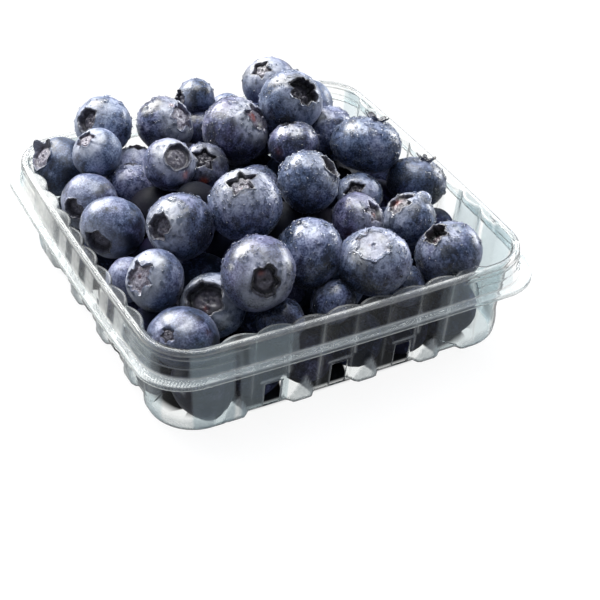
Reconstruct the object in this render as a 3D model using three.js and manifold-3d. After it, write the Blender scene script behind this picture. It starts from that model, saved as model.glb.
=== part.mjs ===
// A square punnet of clear thin plastic, heaped with blueberries. Millimetres, +Z up.
// The origin is on the underside of the flat floor, at the middle of the square.
import * as THREE from "three";
import { mergeVertices } from "three/addons/utils/BufferGeometryUtils.js";
import Module from "manifold-3d";

// ---------- driving dimensions ----------
const HEIGHT = 28.5; // floor underside to the top of the ledge
const SHEET = 0.6; // thickness of the plastic
const FLANGE_HALF = 57.0; // half the overall width, at the flange
const FLANGE_RADIUS = 13.0; // corner radius of the flange
const FLANGE_DROP = 7.4; // ledge top to flange top, at its outer edge
const LIP = 1.0; // how far the flange turns down
const FLANGE_WIDTH = 2.0; // skirt to flange edge; the skirt leans out from the ledge to there
const LEDGE_OUTER = 54.1; // half width at the ledge's outer edge
const LEDGE_INNER = 52.0; // half width at the ledge's inner edge
const LEDGE_RADIUS = 13.5; // corner radius of the ledge
const SIDE_BOW = 0.7; // each side bows out by this at its middle
const WALL_BOTTOM = 50.0; // half width of the wall's outside, just over the floor
const WALL_RADIUS = 11.0; // corner radius of the wall
const FILLET = 5.5; // wall to floor, in the panels
const FOOT_FILLET = 1.6; // wall to floor, at the feet
const FOOT_OUT = 0.9; // a foot stands out of the wall by this
const FOOT_TOP = 15.0; // height at which a foot has died out into the wall
const RIB_IN = 1.7; // each rib bulges into the punnet by this at the ledge
const RIB_HALF = 4.2; // half the width of a rib
const MODULE = 19.0; // one foot and one vent slot in each
const MODULES = 4; // modules on a side
const FIRST_FOOT = -32.4; // along the side, from its middle
const SECOND_RIB = 8.4; // from a foot to the second rib of its module
const SLOT_AT = 11.0; // from a foot to the middle of the vent slot
const SLOT = [4.7, 6.8]; // width and height of a vent slot
const SLOT_LOW = 1.9; // lower edge of a vent slot

const BERRY_SMALL = 7.9; // radii of the berries
const BERRY_LARGE = 9.4;
const ROW_PITCH = 13.9; // heap: spacing of the rows of berries
const BERRY_PITCH = 15.4; // heap: spacing within a row
const ROWS = 7;
const DOME = 13.5; // how far the middle of the heap stands over its edge
const EDGE_LEVEL = -1.5; // centres of the berries along the edge, over the ledge
const HOLLOW = { x: 33, y: 20, drop: 14 }; // the back right corner isn't heaped: it is this much lower
const PEAK = { x: 17.2, y: 18.6, z: 16.6, r: 8.8 }; // the highest berry, over the ledge
const GAP = 0.35; // between the berries and the plastic

const wasm = await Module();
wasm.setup();

// ---------- helpers ----------
function toSolid(geometry) {
  const g = geometry.clone();
  for (const name of Object.keys(g.attributes))
    if (name !== "position") g.deleteAttribute(name);
  const merged = mergeVertices(g, 1e-4);
  return new wasm.Manifold(
    new wasm.Mesh({
      numProp: 3,
      vertProperties: new Float32Array(merged.attributes.position.array),
      triVerts: new Uint32Array(merged.index.array),
    }),
  );
}

function toGeometry(solid) {
  const m = solid.getMesh();
  const points = new Float32Array(m.numVert * 3);
  for (let i = 0; i < m.numVert; i++)
    points.set(
      m.vertProperties.subarray(i * m.numProp, i * m.numProp + 3),
      i * 3,
    );
  const g = new THREE.BufferGeometry();
  g.setAttribute("position", new THREE.BufferAttribute(points, 3));
  g.setIndex(new THREE.BufferAttribute(new Uint32Array(m.triVerts), 1));
  g.computeVertexNormals();
  return g;
}

// A repeatable number from 0 to 1 for two whole numbers.
function hash(i, j) {
  const v = Math.sin(i * 127.1 + j * 311.7 + 74.7) * 43758.5453;
  return v - Math.floor(v);
}

// ---------- stations round a rounded square ----------
// Each side is walked from its left end to its right end as seen from outside,
// starting with the side that faces -Y. A station has its place along the side,
// how much of a rib and how much of a foot stands there, or its angle on a corner.
const CORNER_STEPS = 4;

function sideStations() {
  const list = [];
  for (let m = 0; m < MODULES; m++) {
    const foot = FIRST_FOOT + m * MODULE;
    const second = foot + SECOND_RIB;
    list.push({ s: foot - RIB_HALF, rib: 0, foot: 0 });
    list.push({ s: foot - 1.9, rib: 0.9, foot: 1 });
    list.push({ s: foot + 1.9, rib: 0.9, foot: 1 });
    list.push({ s: foot + RIB_HALF, rib: 0, foot: 0 });
    list.push({ s: second - 1.9, rib: 0.9, foot: 0 });
    list.push({ s: second + 1.9, rib: 0.9, foot: 0 });
  }
  return list;
}

function stations() {
  const list = [];
  for (let side = 0; side < 4; side++) {
    for (const st of sideStations()) list.push({ side, ...st });
    for (let c = 0; c <= CORNER_STEPS; c++)
      list.push({ side, corner: (c / CORNER_STEPS) * (Math.PI / 2) });
  }
  return list;
}

// One point: half width h, corner radius r, height z, at a station.
function place(st, h, r, z, bow) {
  const straight = h - r;
  let x, y;
  if (st.corner === undefined) {
    x = st.s;
    y = -(h + bow * (1 - (st.s / straight) ** 2));
  } else {
    x = straight + r * Math.sin(st.corner);
    y = -straight - r * Math.cos(st.corner);
  }
  for (let k = 0; k < st.side; k++) [x, y] = [-y, x];
  return [x, y, z];
}

// Closes a stack of rings into a solid, with a fan over the first and the last ring.
function stack(rings, low, high) {
  const points = [];
  const faces = [];
  const n = rings[0].length;
  for (const ring of rings) for (const p of ring) points.push(...p);
  const lowIndex = rings.length * n;
  points.push(...low, ...high);
  for (let j = 0; j < rings.length - 1; j++)
    for (let i = 0; i < n; i++) {
      const a = j * n + i;
      const b = j * n + ((i + 1) % n);
      faces.push(a, b, b + n, a, b + n, a + n);
    }
  const top = (rings.length - 1) * n;
  for (let i = 0; i < n; i++) {
    faces.push(lowIndex, (i + 1) % n, i);
    faces.push(lowIndex + 1, top + i, top + ((i + 1) % n));
  }
  const g = new THREE.BufferGeometry();
  g.setAttribute(
    "position",
    new THREE.BufferAttribute(new Float32Array(points), 3),
  );
  g.setIndex(faces);
  return g;
}

// ---------- the punnet ----------
// The section of the sheet at a station, from the floor's underside out to the
// lip and back over the upper side: half width, corner radius, height, bow.
function section(rib, foot) {
  const t = SHEET;
  const f = FILLET + (FOOT_FILLET - FILLET) * foot;
  const low = WALL_BOTTOM + FOOT_OUT * foot;
  const mid = WALL_BOTTOM + 1.2;
  const top = LEDGE_INNER + t - RIB_IN * rib;
  const wr = WALL_RADIUS;
  const lr = LEDGE_RADIUS;
  const edge = LEDGE_OUTER;
  const skirtZ = HEIGHT - FLANGE_DROP + 0.3;
  const flange = FLANGE_HALF;
  const skirt = flange - FLANGE_WIDTH;
  const lipZ = HEIGHT - FLANGE_DROP - LIP;
  const k = 1 - Math.SQRT1_2;
  return [
    [low - f, wr - f, 0, 0],
    [low - k * f, wr - k * f, k * f, 0.2],
    [low, wr, f, 0.3],
    [mid, wr + 0.6, FOOT_TOP, 0.5],
    [top, lr - 2.1 + t, HEIGHT - t, SIDE_BOW],
    [edge - t, lr - t, HEIGHT - t, SIDE_BOW],
    [skirt - t, lr - t, skirtZ - t, SIDE_BOW],
    [flange - t, FLANGE_RADIUS - t, skirtZ - 0.3 - t, SIDE_BOW],
    [flange - t, FLANGE_RADIUS - t, lipZ, SIDE_BOW],
    [flange, FLANGE_RADIUS, lipZ, SIDE_BOW],
    [flange, FLANGE_RADIUS, skirtZ - 0.3, SIDE_BOW],
    [skirt, lr, skirtZ, SIDE_BOW],
    [edge, lr, HEIGHT, SIDE_BOW],
    [top - t, lr - 2.1, HEIGHT, SIDE_BOW],
    [mid - t, wr + 0.6 - t, FOOT_TOP, 0.5],
    [low - t, wr - t, 0.8 * f + t, 0.3],
    [low - f, wr - f, t, 0],
  ];
}

function punnetSheet() {
  const list = stations();
  const count = section(0, 0).length;
  const rings = [];
  for (let j = 0; j < count; j++)
    rings.push(
      list.map((st) => {
        const [h, r, z, bow] = section(st.rib ?? 0, st.foot ?? 0)[j];
        return place(st, h, Math.max(r, 1), z, bow);
      }),
    );
  return stack(rings, [0, 0, 0], [0, 0, SHEET]);
}

function slotCutters() {
  const cutters = [];
  for (let side = 0; side < 4; side++)
    for (let m = 0; m < MODULES - 1; m++) {
      const g = new THREE.BoxGeometry(SLOT[0], 7, SLOT[1]);
      g.translate(
        FIRST_FOOT + m * MODULE + SLOT_AT,
        -WALL_BOTTOM,
        SLOT_LOW + SLOT[1] / 2,
      );
      g.rotateZ((side * Math.PI) / 2);
      cutters.push(g);
    }
  return cutters;
}

let punnet = toSolid(punnetSheet());
for (const cutter of slotCutters()) punnet = punnet.subtract(toSolid(cutter));

// ---------- the heap of blueberries ----------
// How high the centres of the top berries lie over the ledge.
function heapLevel(x, y) {
  const u = Math.min(Math.abs(x) / 50, 1) ** 2.2;
  const v = Math.min(Math.abs(y) / 50, 1) ** 2.2;
  const hollow =
    THREE.MathUtils.smoothstep(x, HOLLOW.x - 8, HOLLOW.x + 4) *
    THREE.MathUtils.smoothstep(y, HOLLOW.y - 10, HOLLOW.y);
  return EDGE_LEVEL + DOME * (1 - u) * (1 - v) - HOLLOW.drop * hollow;
}

// A blueberry: a ball a little flatter from crown to stem, tipped over at random.
function berry(x, y, z, r, seed) {
  const g = new THREE.SphereGeometry(r, 7, 5);
  g.rotateX(Math.PI / 2);
  g.scale(1, 1, 0.9);
  g.rotateX((hash(seed, 5) - 0.5) * 1.6);
  g.rotateY((hash(seed, 6) - 0.5) * 1.6);
  g.translate(x, y, z);
  return g;
}

function topBerries() {
  const list = [
    [PEAK.x, PEAK.y, HEIGHT + PEAK.z, PEAK.r],
    [PEAK.x + 5, PEAK.y - 5, HEIGHT + PEAK.z - 11, PEAK.r], // and the one it lies on
  ];
  const inside = LEDGE_INNER - RIB_IN - GAP;
  for (let row = 0; row < ROWS; row++)
    for (let i = -3; i <= 3; i++) {
      const r =
        BERRY_SMALL + (BERRY_LARGE - BERRY_SMALL) * hash(row * 9 + i, 1);
      const limit = inside - r;
      const x = THREE.MathUtils.clamp(
        (i + (row % 2 ? 0.5 : 0)) * BERRY_PITCH + (hash(row, i + 20) - 0.5) * 3,
        -limit,
        limit,
      );
      const y = THREE.MathUtils.clamp(
        (row - (ROWS - 1) / 2) * ROW_PITCH + (hash(i + 30, row) - 0.5) * 3,
        -limit,
        limit,
      );
      if (list.some((b) => Math.hypot(x - b[0], y - b[1]) < 9.5)) continue;
      const z = heapLevel(x, y) + (hash(row + 50, i) - 0.5) * 4;
      list.push([x, y, HEIGHT + z, r]);
    }
  return list;
}

// The closed body of berries under the top ones: it follows the inside of the
// punnet up to the ledge, and rises under the heap.
function heapBody() {
  const list = [];
  for (let side = 0; side < 4; side++) {
    for (const s of [-30, -10, 10, 30]) list.push({ side, s });
    for (let c = 0; c < 3; c++)
      list.push({ side, corner: ((c + 0.5) / 3) * (Math.PI / 2) });
  }
  const ring = (h, r, z) => list.map((st) => place(st, h, r, z, 0));
  const clear = WALL_BOTTOM - SHEET - GAP;
  const low = SHEET + GAP;
  const rings = [
    ring(clear - FILLET - 1.5, 4, low),
    ring(clear - 0.3 * FILLET - 1.7, 8, low + 0.3 * FILLET),
    ring(clear - 0.4, 11, FILLET + 2.2),
    ring(clear - 0.2, 11, HEIGHT - 9),
    ring(clear - 5, 11, HEIGHT - 3.5),
  ];
  const n = 4;
  for (let k = 1; k < n; k++) {
    const h = (clear - 5) * (1 - k / n);
    const z = HEIGHT + EDGE_LEVEL - 4 + DOME * (1 - (h / 50) ** 2.2);
    rings.push(list.map(() => [0, 0, z]));
  }
  // the stations of each ring share out its own width
  const scaled = rings.map((points, j) => {
    if (j < 5) return points;
    const h = (clear - 5) * (1 - (j - 4) / n);
    const k = h / (clear - 5);
    return rings[4].map(([x, y]) => [x * k, y * k, points[0][2]]);
  });
  return stack(scaled, [0, 0, low], [0, 0, HEIGHT + EDGE_LEVEL + DOME - 4]);
}

let heap = toSolid(heapBody());
{
  const dip = new THREE.SphereGeometry(28, 14, 10);
  dip.translate(58, 46, HEIGHT + 9);
  heap = heap.subtract(toSolid(dip));
}
topBerries().forEach(([x, y, z, r], i) => {
  heap = heap.add(toSolid(berry(x, y, z, r, i)));
});
// two balls that just graze each other can leave a sliver: the heap is the largest body
heap = heap.decompose().reduce((a, b) => (b.volume() > a.volume() ? b : a));

// ---------- scene graph ----------
const part = new THREE.Group();
part.name = "punnet_of_blueberries";

const plastic = new THREE.MeshStandardMaterial({
  color: 0xe9eef0,
  roughness: 0.08,
  metalness: 0,
  transparent: true,
  opacity: 0.35,
});
const skin = new THREE.MeshStandardMaterial({
  color: 0x3c4663,
  roughness: 0.55,
  metalness: 0,
});

const punnetMesh = new THREE.Mesh(toGeometry(punnet), plastic);
punnetMesh.name = "punnet";
part.add(punnetMesh);

const heapMesh = new THREE.Mesh(toGeometry(heap), skin);
heapMesh.name = "berry_heap";
part.add(heapMesh);

export default part;
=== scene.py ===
"""A square punnet of clear plastic, heaped with blueberries: the looks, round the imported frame. Metres, +Z up."""

import math

import bmesh
import bpy
import numpy as np
from mathutils import Matrix


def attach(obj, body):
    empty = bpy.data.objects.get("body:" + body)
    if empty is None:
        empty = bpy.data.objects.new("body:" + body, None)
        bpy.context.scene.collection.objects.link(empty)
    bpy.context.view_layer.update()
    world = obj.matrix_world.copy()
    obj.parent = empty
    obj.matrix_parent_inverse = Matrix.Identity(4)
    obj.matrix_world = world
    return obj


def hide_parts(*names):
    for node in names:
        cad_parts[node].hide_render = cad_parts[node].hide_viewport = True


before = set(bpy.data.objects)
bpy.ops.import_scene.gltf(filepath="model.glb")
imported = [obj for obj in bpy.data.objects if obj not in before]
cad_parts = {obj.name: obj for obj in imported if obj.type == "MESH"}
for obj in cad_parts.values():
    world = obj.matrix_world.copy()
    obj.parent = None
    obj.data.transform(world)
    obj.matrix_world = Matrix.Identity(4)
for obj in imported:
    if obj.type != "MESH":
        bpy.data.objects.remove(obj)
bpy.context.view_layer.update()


MM = 0.001
H = 28.5  # height of the ledge's top over the ground, mm

# ---------------------------------------------------------------- camera
AZ, EL, DIST, FOCAL, TX, TY, ROLL = -29.72, 36.93, 405.2, 1482.0, 9.95, -27.9, 3.1
_a, _e, _r = (math.radians(v) for v in (AZ, EL, ROLL))
BACK = np.array([math.sin(_a) * math.cos(_e), -math.cos(_a) * math.cos(_e), math.sin(_e)])
_x = np.cross([0, 0, 1.0], BACK)
_x /= np.linalg.norm(_x)
_y = np.cross(BACK, _x)
RIGHT = math.cos(_r) * _x + math.sin(_r) * _y
UP = -math.sin(_r) * _x + math.cos(_r) * _y
EYE = BACK * DIST + RIGHT * TX + UP * TY + np.array([0, 0, H])  # mm


def make_camera():
    data = bpy.data.cameras.new("camera")
    data.sensor_width = 36.0
    data.sensor_fit = "HORIZONTAL"
    data.lens = FOCAL / 600 * 36.0
    data.clip_start, data.clip_end = 0.01, 20
    cam = bpy.data.objects.new("camera", data)
    bpy.context.scene.collection.objects.link(cam)
    m = Matrix.Identity(4)
    for i in range(3):
        m[i][0], m[i][1], m[i][2], m[i][3] = RIGHT[i], UP[i], BACK[i], EYE[i] * MM
    cam.matrix_world = m
    bpy.context.scene.camera = cam


make_camera()


def to_image(p):
    """Image place of points in mm, for a picture of 600 by 600."""
    d = np.atleast_2d(p) - EYE
    z = -(d @ BACK)
    return np.c_[300 + FOCAL * (d @ RIGHT) / z, 300 - FOCAL * (d @ UP) / z]


# ---------------------------------------------------------------- meshes
def add_mesh(name, points_mm, faces, material, attributes=None, smooth=True, fix=False):
    me = bpy.data.meshes.new(name)
    me.from_pydata((np.asarray(points_mm) * MM).tolist(), [], faces)
    me.update()
    for key, values in (attributes or {}).items():
        a = me.attributes.new(key, "FLOAT", "POINT")
        a.data.foreach_set("value", np.asarray(values, np.float32))
    if fix:
        bm = bmesh.new()
        bm.from_mesh(me)
        bmesh.ops.recalc_face_normals(bm, faces=bm.faces)
        bm.to_mesh(me)
        bm.free()
    if smooth:
        me.polygons.foreach_set("use_smooth", np.ones(len(me.polygons), bool))
    me.update()
    ob = bpy.data.objects.new(name, me)
    bpy.context.scene.collection.objects.link(ob)
    ob.data.materials.append(material)
    return ob


class Bunch:
    """Several closed meshes gathered into one piece."""

    def __init__(self):
        self.points, self.faces, self.attributes, self.count = [], [], {}, 0

    def add(self, points, faces, attributes):
        self.points.append(points)
        n = self.count
        self.faces += [tuple(i + n for i in f) for f in faces]
        for k, v in attributes.items():
            self.attributes.setdefault(k, []).append(v)
        self.count += len(points)

    def build(self, name, material):
        return add_mesh(
            name,
            np.concatenate(self.points),
            self.faces,
            material,
            {k: np.concatenate(v) for k, v in self.attributes.items()},
        )


def smooth01(t):
    t = np.clip(t, 0, 1)
    return t * t * (3 - 2 * t)


# ---------------------------------------------------------------- materials
def new_material(name):
    m = bpy.data.materials.new(name)
    m.use_nodes = True
    nt = m.node_tree
    nt.nodes.clear()
    out = nt.nodes.new("ShaderNodeOutputMaterial")
    return m, nt, out


class Net:
    """Short names for the nodes of one material."""

    def __init__(self, nt):
        self.nt = nt

    def node(self, kind, **values):
        n = self.nt.nodes.new(kind)
        for k, v in values.items():
            setattr(n, k, v)
        return n

    def put(self, socket, value):
        if isinstance(value, bpy.types.NodeSocket):
            self.nt.links.new(value, socket)
        else:
            socket.default_value = value

    def attr(self, name):
        return self.node("ShaderNodeAttribute", attribute_name=name).outputs["Fac"]

    def math(self, op, a, b=0.0, clamp=False):
        n = self.node("ShaderNodeMath", operation=op, use_clamp=clamp)
        self.put(n.inputs[0], a)
        self.put(n.inputs[1], b)
        return n.outputs[0]

    def mix(self, fac, a, b):
        n = self.node("ShaderNodeMix", data_type="RGBA")
        self.put(n.inputs[0], fac)
        self.put(n.inputs[6], a)
        self.put(n.inputs[7], b)
        return n.outputs[2]

    def noise(self, scale, detail=3.0, rough=0.55, distortion=0.0, where=None):
        n = self.node("ShaderNodeTexNoise")
        n.inputs["Scale"].default_value = scale
        n.inputs["Detail"].default_value = detail
        n.inputs["Roughness"].default_value = rough
        n.inputs["Distortion"].default_value = distortion
        self.put(n.inputs["Vector"], where)
        return n.outputs["Fac"]

    def span(self, value, low, high, to_low=0.0, to_high=1.0):
        n = self.node("ShaderNodeMapRange")
        n.inputs["From Min"].default_value = low
        n.inputs["From Max"].default_value = high
        n.inputs["To Min"].default_value = to_low
        n.inputs["To Max"].default_value = to_high
        self.put(n.inputs["Value"], value)
        return n.outputs["Result"]


def rgb(r, g, b):
    return (r, g, b, 1.0)


def berry_material(name="berry_skin", level=0.65, sheen=0.12, duller=0.0):
    m, nt, out = new_material(name)
    n = Net(nt)
    where = n.node("ShaderNodeTexCoord").outputs["Object"]
    bloom, tone = n.attr("bloom"), n.attr("tone")
    crown, sepal, halo, pit = n.attr("crown"), n.attr("sepal"), n.attr("halo"), n.attr("pit")
    pale, red, wet = n.attr("pale"), n.attr("red"), n.attr("wet")
    cream, dry = n.attr("cream"), n.attr("dry")
    broad = n.noise(170, 2.0, 0.5, 0.3, where)
    patch = n.noise(480, 4.0, 0.62, 0.5, where)
    fine = n.noise(2100, 3.0, 0.6, 0.0, where)
    streak = n.noise(1100, 2.0, 0.5, 1.6, where)

    # the bloom: how thick the pale wax lies; its per-berry value also carries painted shade and painted light
    w = n.math("MULTIPLY", n.math("SUBTRACT", broad, 0.5), 1.2)
    w = n.math("ADD", w, n.math("MULTIPLY", n.math("SUBTRACT", patch, 0.5), 1.2))
    w = n.math("ADD", w, n.math("MULTIPLY", n.math("SUBTRACT", fine, 0.5), 1.5))
    # places where it is rubbed off, and fine scuffs
    rubbed = n.span(n.noise(115, 3.0, 0.6, 0.8, where), 0.56, 0.66, 0.0, 0.42)
    w = n.math("SUBTRACT", w, rubbed)
    scuff = n.math("ABSOLUTE", n.math("SUBTRACT", n.noise(420, 2.0, 0.5, 2.2, where), 0.5))
    w = n.math("SUBTRACT", w, n.span(scuff, 0.0, 0.018, 0.22, 0.0))
    w = n.math("ADD", w, bloom, clamp=True)

    tint = n.math("ADD", tone, n.math("MULTIPLY", n.math("SUBTRACT", broad, 0.5), 1.8), clamp=True)
    deep = n.mix(tint, rgb(0.009, 0.014, 0.027), rgb(0.019, 0.014, 0.036))
    thin = n.mix(tint, rgb(0.058, 0.090, 0.176), rgb(0.096, 0.092, 0.190))
    thick = n.mix(tint, rgb(0.290, 0.352, 0.478), rgb(0.370, 0.370, 0.510))
    skin = n.mix(n.span(w, 0.0, 0.5), deep, thin)
    skin = n.mix(n.span(w, 0.42, 1.0), skin, thick)
    # the pale ring of wax round the crown
    skin = n.mix(n.math("MULTIPLY", halo, n.span(patch, 0.3, 0.6, 0.3, 0.9)), skin, rgb(0.46, 0.48, 0.54))

    # the crown's disc, from nearly black brown to pale lilac, pale wax and painted highlight in cream, reddish places,
    # the crown's groove with its scar and painted shade, and its sepals
    dark_disc = n.mix(n.span(patch, 0.35, 0.65), rgb(0.022, 0.019, 0.023), rgb(0.10, 0.09, 0.112))
    pale_disc = n.mix(n.span(streak, 0.38, 0.60), rgb(0.30, 0.29, 0.34), rgb(0.12, 0.10, 0.13))
    disc = n.mix(pale, dark_disc, pale_disc)
    skin = n.mix(crown, skin, disc)
    # painted highlight, with some pale wax: cream where the key light's sheen falls
    skin = n.mix(n.math("MULTIPLY", cream, n.span(patch, 0.3, 0.62, 0.45, 1.0)), skin, rgb(0.62, 0.615, 0.57))
    skin = n.mix(n.math("MULTIPLY", red, n.span(patch, 0.35, 0.62, 0.4, 1.0)), skin, rgb(0.36, 0.070, 0.036))
    # painted shade in the crown's groove and in dark holes, and the dark scars: near black
    skin = n.mix(pit, skin, rgb(0.006, 0.0065, 0.006))
    edge = n.mix(n.span(streak, 0.40, 0.60), rgb(0.022, 0.022, 0.026), rgb(0.135, 0.14, 0.165))
    skin = n.mix(sepal, skin, n.mix(dry, edge, rgb(0.012, 0.009, 0.007)))

    p = n.node("ShaderNodeBsdfPrincipled")
    n.put(p.inputs["Base Color"], skin)
    rough = n.span(w, 0.0, 1.0, 0.30 + duller, 0.46 + duller)
    rough = n.math("ADD", rough, n.math("MULTIPLY", n.math("SUBTRACT", fine, 0.5), 0.16))
    rough = n.math("SUBTRACT", rough, n.math("MULTIPLY", wet, 0.08), clamp=True)
    n.put(p.inputs["Roughness"], rough)
    p.inputs["Specular IOR Level"].default_value = level
    p.inputs["IOR"].default_value = 1.45
    p.inputs["Sheen Weight"].default_value = sheen
    p.inputs["Sheen Roughness"].default_value = 0.45
    p.inputs["Sheen Tint"].default_value = rgb(0.85, 0.89, 1.0)
    p.inputs["Coat Roughness"].default_value = 0.10
    n.put(p.inputs["Coat Weight"], n.math("MULTIPLY", wet, n.span(patch, 0.42, 0.58, 0.0, 0.5)))
    height = n.math("ADD", n.math("MULTIPLY", patch, 0.7), n.math("MULTIPLY", fine, 0.5))
    height = n.math("ADD", height, n.math("MULTIPLY", n.math("MULTIPLY", streak, crown), 1.4))
    bump = n.node("ShaderNodeBump")
    bump.inputs["Strength"].default_value = 0.6
    bump.inputs["Distance"].default_value = 0.00025
    n.put(bump.inputs["Height"], height)
    n.put(p.inputs["Normal"], bump.outputs["Normal"])
    nt.links.new(p.outputs[0], out.inputs["Surface"])
    return m


def clear_material(name, colour, ior, rough, through, level=0.5, whitened=False):
    """Clear plastic or water: glass that lets the light of lamps through. The plastic is made paler and less clear
    in places: painted highlights along its creases and lips, milky haze with painted reflection on its flat panels, and
    pale frost with painted reflection on its drawn feet."""
    m, nt, out = new_material(name)
    n = Net(nt)
    p = n.node("ShaderNodeBsdfPrincipled")
    p.inputs["Base Color"].default_value = rgb(*colour)
    p.inputs["Roughness"].default_value = rough
    p.inputs["IOR"].default_value = ior
    p.inputs["Specular IOR Level"].default_value = level
    p.inputs["Transmission Weight"].default_value = 1.0
    if whitened:
        where = n.node("ShaderNodeTexCoord").outputs["Object"]
        edge_highlight, haze_and_reflection, frost_and_reflection = n.attr("edge_highlight"), n.attr("haze_and_reflection"), n.attr("frost_and_reflection")
        uneven = n.noise(420, 3.0, 0.6, 0.5, where)
        edge_highlight = n.math("MULTIPLY", edge_highlight, n.span(uneven, 0.25, 0.7, 0.55, 1.0))
        frost_and_reflection = n.math("MULTIPLY", frost_and_reflection, n.span(uneven, 0.25, 0.7, 0.5, 1.0))
        # painted light: paler, less clear colours stand for highlights along edges and reflection on panels and feet
        c = n.mix(n.math("MULTIPLY", frost_and_reflection, 0.8), rgb(*colour), rgb(0.95, 1.0, 0.98))
        c = n.mix(haze_and_reflection, c, rgb(0.83, 0.93, 0.945))
        c = n.mix(edge_highlight, c, rgb(0.97, 0.96, 0.90))
        n.put(p.inputs["Base Color"], c)
        milk = n.math("ADD", n.math("MULTIPLY", edge_highlight, 0.62), n.math("MULTIPLY", haze_and_reflection, 0.19))
        milk = n.math("ADD", milk, n.math("MULTIPLY", frost_and_reflection, 0.46), clamp=True)
        n.put(p.inputs["Transmission Weight"], n.math("SUBTRACT", 1.0, milk, clamp=True))
        bump = n.node("ShaderNodeBump")
        bump.inputs["Strength"].default_value = 0.06
        bump.inputs["Distance"].default_value = 0.0003
        n.put(bump.inputs["Height"], n.noise(160, 2.0, 0.5, 0.5, where))
        n.put(p.inputs["Normal"], bump.outputs["Normal"])
    clear = n.node("ShaderNodeBsdfTransparent")
    clear.inputs[0].default_value = rgb(*through)
    path = n.node("ShaderNodeLightPath")
    mix = n.node("ShaderNodeMixShader")
    n.put(mix.inputs[0], n.math("MAXIMUM", path.outputs["Is Shadow Ray"], path.outputs["Is Diffuse Ray"]))
    nt.links.new(p.outputs[0], mix.inputs[1])
    nt.links.new(clear.outputs[0], mix.inputs[2])
    nt.links.new(mix.outputs[0], out.inputs["Surface"])
    return m


SKIN = berry_material()
# a shaded copy of the skin, as painted shade, for the berries deep in the heap, in the gaps and behind the walls:
# duller, hardly any specular or sheen
SKIN_SHADED = berry_material("berry_skin_shaded", 0.05, 0.0, 0.22)
PLASTIC = clear_material("clear_plastic", (0.985, 0.995, 0.99), 1.20, 0.03, (0.74, 0.76, 0.77), 0.24, True)
WATER = clear_material("water", (1.0, 1.0, 1.0), 1.36, 0.0, (0.34, 0.37, 0.42), 1.0)

# ---------------------------------------------------------------- the punnet
FOOT, MODULE, MODULES = -32.4, 19.0, 4
LEDGE, LEDGE_R, BOW = 54.1, 13.5, 0.7
WALL, WALL_R, WALL_TOP = 49.8, 11.0, 52.2
FLANGE_R = 13.0
SHEET = 0.4
SLOT_LOW, SLOT_HIGH, SLOT_HALF, SLOT_AT = 0.95, 9.7, 2.3, 10.1
CUSP = FOOT - 5.3  # the scallops' cusps lie from here on, every 9.5


def near(value, target, width):
    return np.exp(-(((value - target) / width) ** 2))


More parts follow.
